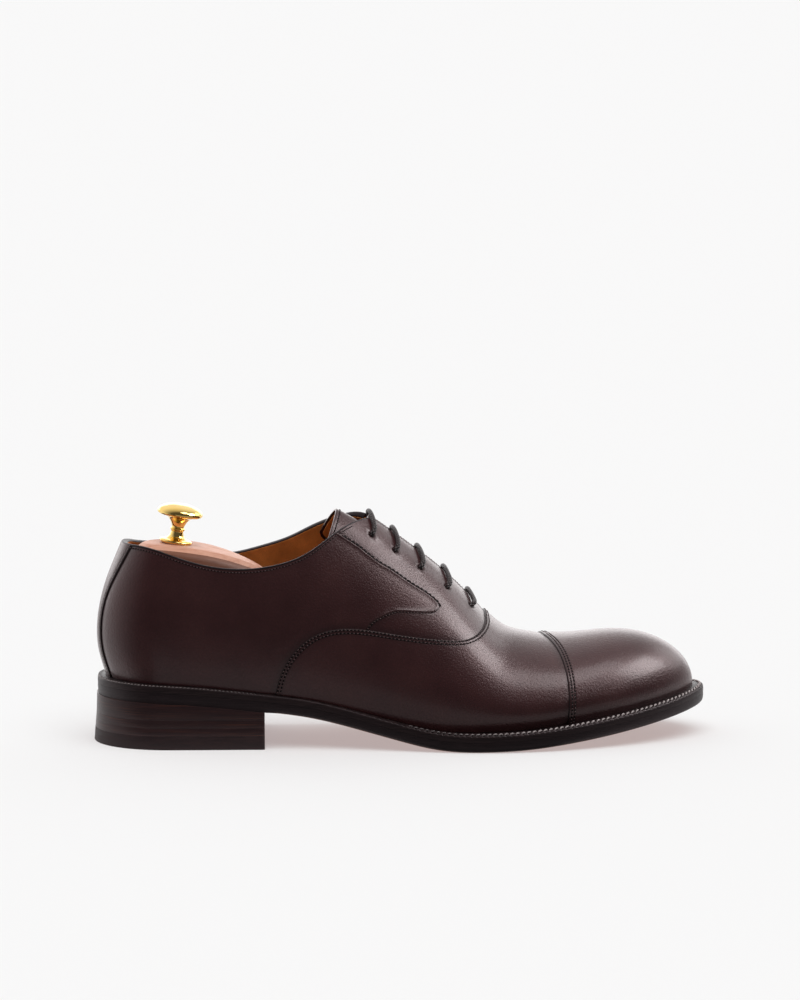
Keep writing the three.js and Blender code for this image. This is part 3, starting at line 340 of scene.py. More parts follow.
# ---------------------------------------------------------------- skins cut from the last surface
def distance_to(points, line):
    """Distance from each point to a line of closely spaced points."""
    best = np.full(len(points), 1e9)
    a, b = line[:-1], line[1:]
    ab = b - a
    length2 = (ab * ab).sum(1) + 1e-12
    for start in range(0, len(points), 4000):
        p = points[start:start + 4000, None, :]
        t = np.clip(((p - a) * ab).sum(2) / length2, 0, 1)
        d = np.linalg.norm(p - (a + t[..., None] * ab), axis=2)
        best[start:start + 4000] = d.min(1)
    return best


def inside_outline(points, outline):
    """Which [x, z] points lie inside a closed outline."""
    x, z = points[:, 0], points[:, 1]
    inside = np.zeros(len(points), bool)
    for (x0, z0), (x1, z1) in zip(outline, np.roll(outline, -1, axis=0)):
        crosses = (z0 > z) != (z1 > z)
        at = x0 + (z - z0) / np.where(z1 == z0, 1e-12, z1 - z0) * (x1 - x0)
        inside ^= crosses & (x < at)
    return inside


class Skin:
    """Faces on the last surface with named values at their corners, which cuts carry along."""

    def __init__(self, values, faces):
        self.values = values
        self.faces = faces

    def copy(self):
        return Skin({k: v.copy() for k, v in self.values.items()}, list(self.faces))

    def cut(self, name, level=0.0, keep=0):
        """Splits the faces along name == level. keep=1 drops what is below it, keep=-1 what is above."""
        f = self.values[name] - level
        f = np.where(np.abs(f) < 1e-6, 1e-6, f)
        above = (f > 0).tolist()
        added, pairs, shares, kept = {}, [], [], []
        count = len(f)
        for face in self.faces:
            marks = [above[i] for i in face]
            if all(marks):
                if keep >= 0:
                    kept.append(face)
                continue
            if not any(marks):
                if keep <= 0:
                    kept.append(face)
                continue
            high, low = [], []
            for i, j in zip(face, face[1:] + face[:1]):
                (high if above[i] else low).append(i)
                if above[i] != above[j]:
                    key = (i, j) if i < j else (j, i)
                    if key not in added:
                        added[key] = count + len(pairs)
                        pairs.append(key)
                        shares.append(f[key[0]] / (f[key[0]] - f[key[1]]))
                    high.append(added[key])
                    low.append(added[key])
            if keep >= 0 and len(high) > 2:
                kept.append(high)
            if keep <= 0 and len(low) > 2:
                kept.append(low)
        if pairs:
            a, b = np.array(pairs).T
            t = np.array(shares)
            for k, v in self.values.items():
                self.values[k] = np.concatenate([v, v[a] * (1 - t) + v[b] * t])
        self.faces = kept
        return self

    def rings(self, name, levels):
        """Extra edges along several levels of one value, for a profile near an edge or a seam."""
        for level in levels:
            self.cut(name, level)
        return self


def link_object(name, data):
    obj = bpy.data.objects.new(name, data)
    bpy.context.scene.collection.objects.link(obj)
    return obj


def plain_mesh(name, points, faces):
    """A mesh object from millimetre points."""
    mesh = bpy.data.meshes.new(name)
    mesh.from_pydata((np.asarray(points, float).reshape(-1, 3) * MM).tolist(), [], faces)
    return link_object(name, mesh)


def shade(bm, mesh, angle):
    """Writes bm to the mesh, smooth apart from the edges where faces meet at more than the angle."""
    limit = math.radians(angle)
    for edge in bm.edges:
        edge.smooth = len(edge.link_faces) == 2 and edge.calc_face_angle(0) < limit
    for face in bm.faces:
        face.smooth = True
    bm.to_mesh(mesh)
    bm.free()


def smooth(obj, angle=50):
    """Outward normals, and sharp edges where faces meet at more than the angle."""
    bm = bmesh.new()
    bm.from_mesh(obj.data)
    bmesh.ops.recalc_face_normals(bm, faces=bm.faces)
    shade(bm, obj.data, angle)
    return obj


def mesh_object(name, points, faces, angle, values=None):
    """A welded mesh from millimetre points, with named values at its points."""
    points = np.asarray(points, float)
    used = np.unique(np.fromiter((i for f in faces for i in f), int))
    renumber = np.full(len(points), -1)
    renumber[used] = np.arange(len(used))
    obj = plain_mesh(name, points[used], [[int(renumber[i]) for i in f] for f in faces])
    for key, value in (values or {}).items():
        attribute = obj.data.attributes.new(key, "FLOAT", "POINT")
        attribute.data.foreach_set("value", np.asarray(value, np.float32)[used])
    bm = bmesh.new()
    bm.from_mesh(obj.data)
    bmesh.ops.remove_doubles(bm, verts=bm.verts, dist=2e-6)
    bmesh.ops.dissolve_degenerate(bm, edges=bm.edges, dist=1e-7)
    shade(bm, obj.data, angle)
    return obj


def grid_quads(rows, columns):
    """Faces between the points of a grid that is stored row by row."""
    grid = np.arange(rows * columns).reshape(rows, columns)
    return np.stack([grid[:-1, :-1], grid[1:, :-1], grid[1:, 1:], grid[:-1, 1:]], -1).reshape(-1, 4).tolist()


def tube_faces(rings, count, first=0, capped=True):
    """Faces of a tube of rings with `count` points each, the first of them number `first`."""
    faces = []
    for a in range(first, first + (rings - 1) * count, count):
        b = a + count
        faces += [[a + k, a + (k + 1) % count, b + (k + 1) % count, b + k] for k in range(count)]
    if capped:
        last = first + (rings - 1) * count
        faces += [list(range(first, first + count))[::-1], list(range(last, last + count))]
    return faces


def skin_object(name, skin, top, bottom):
    """A closed leather piece: the skin raised to `top`, its back at `bottom`, and a rim between them."""
    u, w = skin.values["u"], skin.values["w"]
    base, normal = last_point(u, w), last_normal(u, w)
    outer, inner = (base + normal * np.broadcast_to(height, u.shape)[:, None] for height in (top, bottom))
    count = len(u)
    weld, ids = {}, np.arange(count)
    rounded = np.round(base, 4)
    for i, key in enumerate(map(tuple, rounded)):
        ids[i] = weld.setdefault(key, i)
    faces = []
    for face in skin.faces:
        ring = [int(ids[i]) for i in face]
        ring = [i for k, i in enumerate(ring) if i != ring[k - 1]]
        if len(set(ring)) > 2:
            faces.append(ring)
    edges = {}
    for face in faces:
        for i, j in zip(face, face[1:] + face[:1]):
            edges[(i, j)] = True
    rim = [[j, i, i + count, j + count] for i, j in edges if (j, i) not in edges]
    back = [[i + count for i in reversed(face)] for face in faces]
    seam = {"seam": np.tile(skin.values["seam"], 2)} if "seam" in skin.values else {}
    return mesh_object(name, np.concatenate([outer, inner]), faces + back + rim, 55, seam)


def stations(step):
    """The u values of the grid, closer together towards the toe tip."""
    toe_arc = 110
    heel = np.linspace(BACK_U, HEEL_AXIS_X, int(FAN_LENGTH / step))
    middle = np.linspace(HEEL_AXIS_X, TOE_AXIS_X, int((TOE_AXIS_X - HEEL_AXIS_X) / step))[1:]
    toe = np.linspace(0, np.pi / 2, int(toe_arc / step))[1:]
    return np.concatenate([heel, middle, TOE_AXIS_X + (TOE_END_X - TOE_AXIS_X) * np.sin(toe)])


def side_view_outline(seam, far):
    return np.concatenate([catmull(seam), np.array(far, float)])


def topline_over(mark, p):
    """The height of the topline over every point, on the side that the sign of `mark` gives."""
    return np.where(mark < 0, topline_height[-1](p[:, 0]), topline_height[1](p[:, 0]))


AHEAD_OF_SEAMS = [(190, 80), (190, -20)]
ABOVE_FACING_LINE = [(-17.6, 20), (190, 20), (190, 160), (-36, 160)]
FAR_OFF = 50.0


def whole_skin(step):
    """The whole upper as one grid, with its distances to every seam."""
    half_girth = 105
    us = stations(step)
    ws = np.linspace(-1, 1, 2 * int(half_girth / step) + 1)
    u, w = (a.ravel() for a in np.meshgrid(us, ws, indexing="ij"))
    p = last_point(u, w)
    x, y, z = p.T
    values = {"u": u, "w": w, "side": y - ridge_y(x)}
    for name, seam, skew in (("cap", CAP_SEAM, CAP_SKEW), ("vamp", VAMP_SEAM, 0.0)):
        line = last_point(*seam_path(seam, skew=skew).T)
        seen = np.stack([x + skew * (y - CAP_SKEW_Y), z], -1)
        sign = np.where(inside_outline(seen, side_view_outline(seam, AHEAD_OF_SEAMS)), 1, -1)
        values[name] = distance_to(p, resample(line, 0.7)) * sign
    slope = topline_over(w, p + [0.5, 0, 0]) - topline_over(w, p - [0.5, 0, 0])
    values["top"] = np.where(x > FACING_TOP_X, FAR_OFF, (topline_over(w, p) - z) / np.sqrt(1 + slope**2))
    values["gap"] = np.abs(y - ridge_y(x)) - throat_gap(x) / 2
    values["stay"] = np.where(x < BACK_STRIP_X, np.abs(y) - stay_half_width(z), FAR_OFF)
    lines = [last_point(*seam_path(FACING_LINE, (s,)).T) for s in (-1, 1)]
    values["line"] = np.min([distance_to(p, line) for line in lines], axis=0)
    toe_side = inside_outline(p[:, [0, 2]], side_view_outline(FACING_LINE, ABOVE_FACING_LINE))
    values["outside_line"] = np.where(toe_side, -values["line"], values["line"])
    holes = [last_point(ex, w_at_height(ex, ez, s)) for ex, ez in EYELETS for s in (-1, 1)]
    values["hole"] = np.min([np.linalg.norm(p - h, axis=1) for h in holes], axis=0)
    return Skin(values, grid_quads(len(us), len(ws)))


def roll(f, radius, height):
    """A rounded edge: -height on the edge itself, 0 at `radius` and further in."""
    t = np.clip(f / radius, 0, 1)
    return -height * (1 - np.sqrt(1 - (1 - t)**2))


def swell(f, at, width, height):
    """A low bank where f is near `at`."""
    return height * np.exp(-((f - at) / width)**2)


def groove(f, at, width, depth):
    return -swell(f, at, width, depth)


# ---------------------------------------------------------------- cords and stitches
def circle(radius, count):
    a = np.linspace(0, 2 * np.pi, count, endpoint=False)
    return np.stack([radius * np.cos(a), radius * np.sin(a)], -1)


def transported_up(points, first):
    """Up vectors that turn as little as possible along a line."""
    up = np.array(first, float)
    result = []
    for t in unit(np.gradient(points, axis=0)):
        up = unit(up - t * (up @ t))
        result.append(up)
    return np.array(result)


def sweep(name, points, up, section):
    """A tube through points with a [side, up] section, with a UV that runs in mm along and 0..1 round."""
    tangent = unit(np.gradient(points, axis=0))
    side = unit(np.cross(up, tangent))
    upward = np.cross(tangent, side)
    n, m = len(points), len(section)
    rings = points[:, None] + side[:, None] * section[None, :, :1] + upward[:, None] * section[None, :, 1:]
    obj = plain_mesh(name, rings, tube_faces(n, m))
    length = lengths_along(points)
    uvs = []
    for v0, v1 in zip(length, length[1:]):
        for k in range(m):
            uvs += [(k / m, v0), ((k + 1) / m, v0), ((k + 1) / m, v1), (k / m, v1)]
    uvs += [(0, 0)] * (2 * m)
    obj.data.uv_layers.new(name="UVMap").data.foreach_set("uv", np.array(uvs, np.float32).ravel())
    return smooth(obj)


def row_marks(points, normals, pitch, shift):
    """Places along a row, one for every stitch, with the directions along it, out of it and across it."""
    length = lengths_along(points)
    count = max(1, int(length[-1] / pitch))
    at = (np.arange(count) + shift) * length[-1] / count
    normal = unit(read_line(normals, length, at))
    tangent = unit(read_line(points, length, at + 0.4) - read_line(points, length, at - 0.4))
    return read_line(points, length, at), tangent, normal, np.cross(normal, tangent)


def at_every_mark(name, rows, pitch, shift, sides, shape):
    """A small closed body at every stitch place; shape gives its points there, ring by ring."""
    points, faces = [], []
    for row in rows:
        for mark in zip(*row_marks(*row, pitch, shift)):
            body = shape(*mark)
            faces += tube_faces(len(body) // sides, sides, len(points))
            points += body
    return smooth(plain_mesh(name, points, faces), 80)


# [along, size, lift] of the rings of a thread bead, and [size, lift] of those of a needle hole.
STITCH_RINGS = [(-0.5, 0.25, -0.9), (-0.42, 0.75, -0.35), (-0.22, 1.0, 0.1), (0, 1.05, 0.25),
                (0.22, 1.0, 0.1), (0.42, 0.75, -0.35), (0.5, 0.25, -0.9)]
HOLE_RINGS = [(1.0, -0.3), (1.0, -0.02), (0.6, 0.06)]


def stitches(name, rows, pitch, radius, share, slant=0.0, sides=6):
    """Thread beads along rows of (points, normals); each bead dips into the leather at both ends."""
    ring = circle(1.0, sides)

    def bead(c, t, n, s):
        t = t * math.cos(slant) + s * math.sin(slant)
        s = np.cross(n, t)
        return [c + t * (along * pitch * share) + n * (lift * radius) + (s * a + n * b) * radius * grow
                for along, grow, lift in STITCH_RINGS for a, b in ring]

    return at_every_mark(name, rows, pitch, 0.5, sides, bead)


def needle_holes(name, rows, pitch, long, wide, sides=7):
    """Small dark pits between the stitches, where the thread pulls the leather in; their near-black colour is
    painted shadow.
    """
    ring = circle(1.0, sides)

    def pit(c, t, n, s):
        return [c + (t * long * a + s * wide * b) * grow + n * lift
                for grow, lift in HOLE_RINGS for a, b in ring]

    return at_every_mark(name, rows, pitch, 1.0, sides, pit)


def row_on_last(path, height):
    """Points and normals of a stitch row that lies at a height over the last surface."""
    return on_last(*path.T, height), last_normal(*path.T)


# ---------------------------------------------------------------- materials
def srgb(r, g, b):
    return [((c / 255 + 0.055) / 1.055)**2.4 if c > 10 else c / 255 / 12.92 for c in (r, g, b)] + [1.0]


class Material:
    """A node material with short helpers."""

    def __init__(self, name, **settings):
        self.material = bpy.data.materials.new(name)
        self.material.use_nodes = True
        self.tree = self.material.node_tree
        self.shader = self.tree.nodes["Principled BSDF"]
        for key, value in settings.items():
            self.shader.inputs[key.replace("_", " ")].default_value = value

    def node(self, kind, inputs=None, **properties):
        node = self.tree.nodes.new("ShaderNode" + kind)
        for key, value in properties.items():
            setattr(node, key, value)
        for key, value in (inputs or {}).items():
            if isinstance(value, bpy.types.NodeSocket):
                self.tree.links.new(value, node.inputs[key])
            else:
                node.inputs[key].default_value = value
        return node

    def place(self, scale=(1, 1, 1), rotation=(0, 0, 0)):
        """Object coordinates in millimetres, scaled and turned."""
        coordinates = self.node("TexCoord").outputs["Object"]
        scaled = [s / MM for s in scale]
        return self.node("Mapping", {"Vector": coordinates, "Scale": scaled, "Rotation": rotation}).outputs[0]

    def noise(self, vector, scale, detail=3.0, roughness=0.5, distortion=0.0):
        inputs = {"Vector": vector, "Scale": scale, "Detail": detail, "Roughness": roughness,
                  "Distortion": distortion}
        return self.node("TexNoise", inputs).outputs["Fac"]

    def grain(self, scale):
        """Noise that is as fine in every direction."""
        return self.noise(self.place(), scale, 3.0, 0.6)

    def streaks(self, stretch, detail=3.0, roughness=0.6, distortion=0.0):
        """Noise with its own scale per mm along each axis."""
        return self.noise(self.place(stretch), 1.0, detail, roughness, distortion)

    def ramp(self, fac, *stops):
        """Colours between (position, (red, green, blue)) stops."""
        node = self.node("ValToRGB", {"Fac": fac})
        while len(node.color_ramp.elements) < len(stops):
            node.color_ramp.elements.new(0.5)
        for element, (position, colour) in zip(node.color_ramp.elements, stops):
            element.position = position
            element.color = srgb(*colour)
        return node.outputs["Color"]

    def maths(self, operation, a, b=0.0):
        return self.node("Math", {0: a, 1: b}, operation=operation).outputs[0]

    def span(self, value, low, high, out_low, out_high):
        inputs = {"Value": value, "From Min": low, "From Max": high, "To Min": out_low, "To Max": out_high}
        return self.node("MapRange", inputs).outputs[0]

    def mix(self, fac, a, b):
        """From a to b, which are sockets or (red, green, blue)."""
        node = self.node("Mix", data_type="RGBA")
        for index, value in ((0, fac), (6, a), (7, b)):
            if isinstance(value, bpy.types.NodeSocket):
                self.tree.links.new(value, node.inputs[index])
            else:
                node.inputs[index].default_value = srgb(*value)
        return node.outputs[2]

    def twist(self, scale):
        """The turns of a twisted thread."""
        inputs = {"Vector": self.place((1, 1, 1), (0.6, 0.5, 0.7)), "Scale": scale, "Distortion": 1.5}
        return self.node("TexWave", inputs, bands_direction="DIAGONAL").outputs["Fac"]

    def colour(self, socket):
        self.tree.links.new(socket, self.shader.inputs["Base Color"])

    def rough(self, socket):
        self.tree.links.new(socket, self.shader.inputs["Roughness"])

    def bump(self, *layers):
        """Bump from (height, strength, distance in mm) layers, one over the other."""
        normal = None
        for height, strength, distance in layers:
            node = self.node("Bump", {"Height": height, "Strength": strength, "Distance": distance * MM})
            if normal is not None:
                self.tree.links.new(normal, node.inputs["Normal"])
            normal = node.outputs[0]
        self.tree.links.new(normal, self.shader.inputs["Normal"])


def upper_leather():
    """Polished dark brown box calf: fine pores, a soft patina, darker along its seams and edges from polish
    build-up and painted shade, with a painted shadow right at the seam edges.
    """
    m = Material("upper_leather", Roughness=0.33, Specular_IOR_Level=0.5, Coat_Weight=0.3, Coat_Roughness=0.2,
                 Specular_Tint=(1, 0.84, 0.85, 1), Coat_Tint=(1, 0.9, 0.9, 1))
    where = m.place()
    cloud = m.noise(where, 0.045, 3, 0.5)
    pores = m.node("TexVoronoi", {"Vector": where, "Scale": 1.2}, feature="SMOOTH_F1").outputs["Distance"]
    fine = m.noise(where, 1.05, 3, 0.65)
    wrinkle = m.noise(m.place((1, 1, 1.6)), 0.4, 3, 0.6, 0.6)
    base = m.ramp(cloud, (0.3, (54, 27, 28)), (0.5, (61, 32, 33)), (0.72, (67, 37, 37)))
    speckled = m.mix(m.span(fine, 0.35, 0.7, 0, 0.4), base, (40, 20, 22))
    seam = m.node("Attribute", attribute_name="seam").outputs["Fac"]
    # Darker within about 4.5 mm of a seam: polish build-up and painted shade where the pieces meet.
    dark = m.mix(m.span(seam, 0.2, 4.5, 0.55, 0), speckled, (26, 13, 15))
    # Near black within about half a mm of a seam edge: a painted shadow of the step there, made rougher too.
    painted_edge_shadow = m.span(seam, 0.1, 0.55, 1, 0)
    m.colour(m.mix(painted_edge_shadow, dark, (9, 5, 6)))
    polish = m.span(m.maths("ADD", fine, m.maths("MULTIPLY", cloud, 0.5)), 0.5, 1.0, 0.28, 0.38)
    m.rough(m.maths("ADD", polish, m.maths("MULTIPLY", painted_edge_shadow, 0.4)))
    m.bump((wrinkle, 0.08, 0.3), (pores, 0.45, 0.16), (fine, 0.78, 0.19))
    return m.material


def edge_leather(name="edge_leather", light=(38, 28, 30), dark=(20, 14, 16)):
    """Black-brown burnished edge, with fine wax streaks."""
    m = Material(name, Roughness=0.42, Specular_IOR_Level=0.32, Specular_Tint=(1, 0.85, 0.88, 1))
    streak = m.streaks((0.12, 0.12, 2.4), 4)
    fine = m.grain(3.0)
    m.colour(m.ramp(streak, (0.35, dark), (0.7, light)))
    m.rough(m.span(fine, 0.3, 0.7, 0.34, 0.52))
    m.bump((streak, 0.15, 0.15), (fine, 0.2, 0.08))
    return m.material


def stack_leather():
    """Heel lifts: stained and waxed leather layers with brown streaks."""
    m = Material("stack_leather", Roughness=0.36, Specular_IOR_Level=0.34, Specular_Tint=(1, 0.85, 0.85, 1))
    streak = m.streaks((0.03, 0.03, 1.9), 4, 0.6, 0.3)
    thin = m.streaks((0.05, 0.05, 3.4))
    fine = m.grain(2.4)
    base = m.ramp(streak, (0.32, (38, 26, 28)), (0.55, (50, 33, 34)), (0.72, (84, 48, 36)))
    m.colour(m.mix(m.span(thin, 0.45, 0.62, 0, 0.5), base, (34, 23, 24)))
    m.rough(m.span(fine, 0.3, 0.7, 0.28, 0.46))
    m.bump((thin, 0.25, 0.12), (fine, 0.15, 0.08))
    return m.material


def lining_leather(name="lining_leather", base=(224, 138, 70)):
    """Matt cognac lining calf."""
    r, g, b = base
    m = Material(name, Roughness=0.55, Specular_IOR_Level=0.35)
    where = m.place()
    cloud = m.noise(where, 0.06, 4, 0.6)
    fine = m.noise(where, 2.2, 4, 0.65)
    tone = m.ramp(cloud, (0.3, (r * 0.8, g * 0.78, b * 0.75)), (0.7, (r * 1.1, g * 1.1, b * 1.1)))
    m.colour(m.mix(m.span(fine, 0.35, 0.7, 0, 0.3), tone, (r * 0.6, g * 0.58, b * 0.55)))
    m.bump((fine, 0.3, 0.12), (cloud, 0.1, 0.4))
    return m.material


def sole_leather():
    """Tanned outsole: warm brown, faintly fibrous, with a darker rim."""
    m = Material("sole_leather", Roughness=0.5, Specular_IOR_Level=0.4)
    where = m.place((1, 1.6, 1))
    cloud = m.noise(where, 0.035, 5, 0.6)
    fine = m.noise(where, 1.8, 4, 0.6)
    m.colour(m.mix(m.span(fine, 0.3, 0.7, 0, 0.35),
                   m.ramp(cloud, (0.3, (126, 78, 46)), (0.7, (160, 106, 66))), (110, 66, 40)))
    m.bump((fine, 0.25, 0.15))
    return m.material


def rubber():
    """Matt black rubber with a fine moulded stipple."""
    m = Material("rubber", Roughness=0.55, Specular_IOR_Level=0.3)
    fine = m.grain(1.6)
    scuff = m.streaks((0.1, 0.1, 1.5), 4)
    m.colour(m.ramp(scuff, (0.35, (34, 22, 24)), (0.7, (48, 32, 33))))
    m.rough(m.span(scuff, 0.3, 0.7, 0.5, 0.7))
    m.bump((fine, 0.3, 0.12))
    return m.material


def thread(name, light, dark):
    """Waxed thread, twisted."""
    m = Material(name, Roughness=0.5, Specular_IOR_Level=0.5)
    twist = m.twist(1.1)
    m.colour(m.ramp(twist, (0.2, dark), (0.8, light)))
    m.bump((twist, 0.4, 0.1))
    return m.material


# Where the painted highlight on the sole stitching fades in along x, at the forepart and at the heel.
THREAD_HIGHLIGHT_X = {"forepart": (25, 75), "heel": (-75, -135)}


def welt_thread():
    """The sole stitching: waxed dark at the waist, with a painted highlight that makes it pale towards the
    toe and the heel back.
    """
    m = Material("welt_thread", Roughness=0.45, Specular_IOR_Level=0.5)
    twist = m.twist(0.8)
    along = m.node("SeparateXYZ", {"Vector": m.place()}).outputs[0]
    # The pale twist colour is a painted highlight, faded in along x towards the toe and the heel back.
    pale = m.ramp(twist, (0.2, (128, 114, 114)), (0.8, (190, 180, 178)))
    waxed = m.ramp(twist, (0.2, (46, 36, 37)), (0.8, (78, 66, 66)))
    ends = m.maths("ADD", m.span(along, *THREAD_HIGHLIGHT_X["forepart"], 0, 1),
                   m.span(along, *THREAD_HIGHLIGHT_X["heel"], 0, 0.7))
    m.colour(m.mix(ends, waxed, pale))
    m.bump((twist, 0.4, 0.1))
    return m.material


def lace_cord():
    """Round waxed cotton lace: two sets of strands braided round it."""
    m = Material("lace_cord", Roughness=0.42, Specular_IOR_Level=0.45)
    uv = m.node("TexCoord").outputs["UV"]
    split = m.node("SeparateXYZ", {"Vector": uv})
    around = m.maths("MULTIPLY", split.outputs[0], 4.0)
    along = m.maths("MULTIPLY", split.outputs[1], 0.62)
    waves = []
    for sign in (1, -1):
        phase = m.maths("ADD", m.maths("MULTIPLY", around, float(sign)), along)
        waves.append(m.maths("ABSOLUTE", m.maths("SINE", m.maths("MULTIPLY", phase, math.pi))))
    braid = m.maths("MULTIPLY", waves[0], waves[1])
    fibre = m.grain(3.5)
    # The braid's hollows are painted near black: painted shade between the strands.
    m.colour(m.mix(m.span(fibre, 0.3, 0.7, 0, 0.4),
                   m.ramp(braid, (0.15, (8, 5, 6)), (0.6, (74, 58, 59))), (36, 27, 27)))
    m.bump((braid, 1.0, 0.5), (fibre, 0.2, 0.06))
    return m.material


def brass():
    """Polished brass, a little uneven in its shine."""
    m = Material("brass", Metallic=1.0, Roughness=0.08)
    where = m.place()
    cloud = m.noise(where, 0.12, 3, 0.5)
    fine = m.noise(m.place((1, 1, 6)), 1.5, 3, 0.6)
    m.colour(m.ramp(cloud, (0.3, (250, 208, 116)), (0.7, (255, 222, 140))))
    m.rough(m.span(m.maths("ADD", cloud, m.maths("MULTIPLY", fine, 0.5)), 0.5, 1.0, 0.04, 0.13))
    m.bump((fine, 0.05, 0.05))
    return m.material


def steel():
    m = Material("steel", Metallic=1.0, Roughness=0.3)
    fine = m.noise(m.place((1, 6, 1)), 1.2, 3, 0.6)
    m.colour(m.ramp(fine, (0.3, (160, 162, 166)), (0.7, (196, 198, 202))))
    m.rough(m.span(fine, 0.3, 0.7, 0.22, 0.4))
    m.bump((fine, 0.06, 0.05))
    return m.material


def cedar(name="cedar", shade=1.0):
    """Sanded red cedar: long, faint growth rings, pores and a few darker streaks."""
    m = Material(name, Roughness=0.5, Specular_IOR_Level=0.35)

    # A shade below 1 makes a darker copy of the wood, as painted shade for faces that get less light.
    def tint(r, g, b):
        return (r * shade**0.85, g * shade**1.1, b * shade**1.3)

    warp = m.streaks((0.02, 0.06, 0.06), 3, 0.5)
    rings = m.noise(m.place((0.012, 0.30, 0.45), (0.02, 0.03, 0)), 1.0, 3, 0.5, 0.8)
    fibre = m.streaks((0.05, 1.8, 1.8), 4, 0.65)
    wood = m.ramp(rings, (0.3, tint(222, 170, 147)), (0.5, tint(213, 159, 135)), (0.68, tint(194, 132, 107)))
    tone = m.mix(m.span(warp, 0.35, 0.65, 0, 0.35), wood, tint(203, 144, 117))
    m.colour(m.mix(m.span(fibre, 0.45, 0.75, 0, 0.3), tone, tint(167, 105, 80)))
    m.rough(m.span(fibre, 0.3, 0.7, 0.42, 0.6))
    m.bump((fibre, 0.2, 0.12), (rings, 0.06, 0.2))
    return m.material


def needle_hole():
    """The shadowed bottom of a needle hole."""
    m = Material("needle_hole", Roughness=0.8, Specular_IOR_Level=0.2)
    fine = m.noise(m.place(), 2.0, 2, 0.5)
    m.colour(m.ramp(fine, (0.3, (12, 6, 7)), (0.7, (24, 13, 14))))
    m.bump((fine, 0.3, 0.1))
    return m.material


def board(name="board", base=(176, 138, 92)):
    """Leatherboard, cork and other unseen fillers: a pressed, flecked sheet."""
    r, g, b = base
    m = Material(name, Roughness=0.85, Specular_IOR_Level=0.25)
    fleck = m.node("TexVoronoi", {"Vector": m.place(), "Scale": 0.7}).outputs["Color"]
    grey = m.node("RGBToBW", {"Color": fleck}).outputs[0]
    m.colour(m.ramp(grey, (0.2, (r * 0.75, g * 0.72, b * 0.7)), (0.8, (r, g, b))))
    m.bump((grey, 0.3, 0.2))
    return m.material


MATERIALS = {
    "upper": upper_leather(),
    "edge": edge_leather(),
    "welt": edge_leather("welt_leather", (44, 32, 33), (20, 14, 15)),
    "stack": stack_leather(),
    "lining": lining_leather(),
    "sock": lining_leather("sock_leather", (206, 138, 84)),
    "sole": sole_leather(),
    "rubber": rubber(),
    "thread": thread("seam_thread", (88, 62, 62), (48, 30, 31)),
    "hole": needle_hole(),
    "welt_thread": welt_thread(),
    "lace": lace_cord(),
    "brass": brass(),
    "steel": steel(),
    "cedar": cedar(),
    # A darker copy of the cedar: painted shade on the sides of the tree's heel block.
    "cedar_side": cedar("cedar_side", 0.53),
    "board": board(),
    "cork": board("cork", (170, 120, 76)),
}


def piece(obj, body, material, replaces=()):
    """Gives a finished piece its material and body, and hides the CAD nodes it stands for."""
    obj.data.materials.clear()
    obj.data.materials.append(MATERIALS[material])
    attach(obj, body)
    if replaces:
        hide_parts(*replaces)


# ---------------------------------------------------------------- upper
SHOE = "shoe"
GRID_STEP = 1.7
EDGE_RINGS = (0.06, 0.2, 0.45, 0.8)
ROW_RINGS = {"vamp": (1.15, 1.6, 2.1, 2.5, 2.95, 3.6), "cap": (1.2, 1.6, 2.05, 2.6, 3.1, 3.55, 4.2)}
UNDERLAP_RINGS = (0, -0.8, -2)
CAP_ROWS = (1.6, 3.1)
VAMP_ROWS = (0.8, 2.3)
STAY_ROW = 1.5
UNDERLAP = 1.5
TOPLINE_DROP = 0.9
HOLE_RADIUS = 1.15
SEAM_LIFT = 0.25
SEAM_SINK = 0.55
SEAM_REACH = 14


def overlapped(f, reach=5.0):
    """How far a piece sinks where the next piece lies over it; f is the distance from that seam."""
    return -SEAM_SINK * np.exp(-np.maximum(f, 0) / reach)


def raised(f, rounding, rows):
    """The height of a piece that lies on top at its seam: a rounded edge and a groove for every row."""
    bank = SEAM_LIFT * np.exp(-f / SEAM_REACH) + roll(f, *rounding)
    return bank + sum(groove(f, at, 0.26, 0.12) for at in rows)


def upper_piece(node, skin, top):
    obj = skin_object(f"{node}_leather", skin, top, -UPPER_THICKNESS)
    piece(obj, SHOE, "upper", [node])


def make_toe_cap(skin):
    cap = skin.copy().cut("cap", 0, 1).rings("cap", EDGE_RINGS + ROW_RINGS["cap"])
    cap.values["seam"] = cap.values["cap"]
    upper_piece("toe_cap", cap, raised(cap.values["cap"], (0.8, 0.95), CAP_ROWS))


def make_vamp(skin):
    """The vamp lies over the quarters and under the toe cap."""
    vamp = skin.copy().cut("cap", UNDERLAP, -1).cut("vamp", 0, 1)
    vamp.rings("cap", UNDERLAP_RINGS).rings("vamp", EDGE_RINGS + ROW_RINGS["vamp"])
    f, under_cap = vamp.values["vamp"], -vamp.values["cap"]
    vamp.values["seam"] = np.minimum(f, np.maximum(under_cap, 0) + 0.6)
    upper_piece("vamp", vamp, raised(f, (0.7, 0.9), VAMP_ROWS) + overlapped(under_cap))


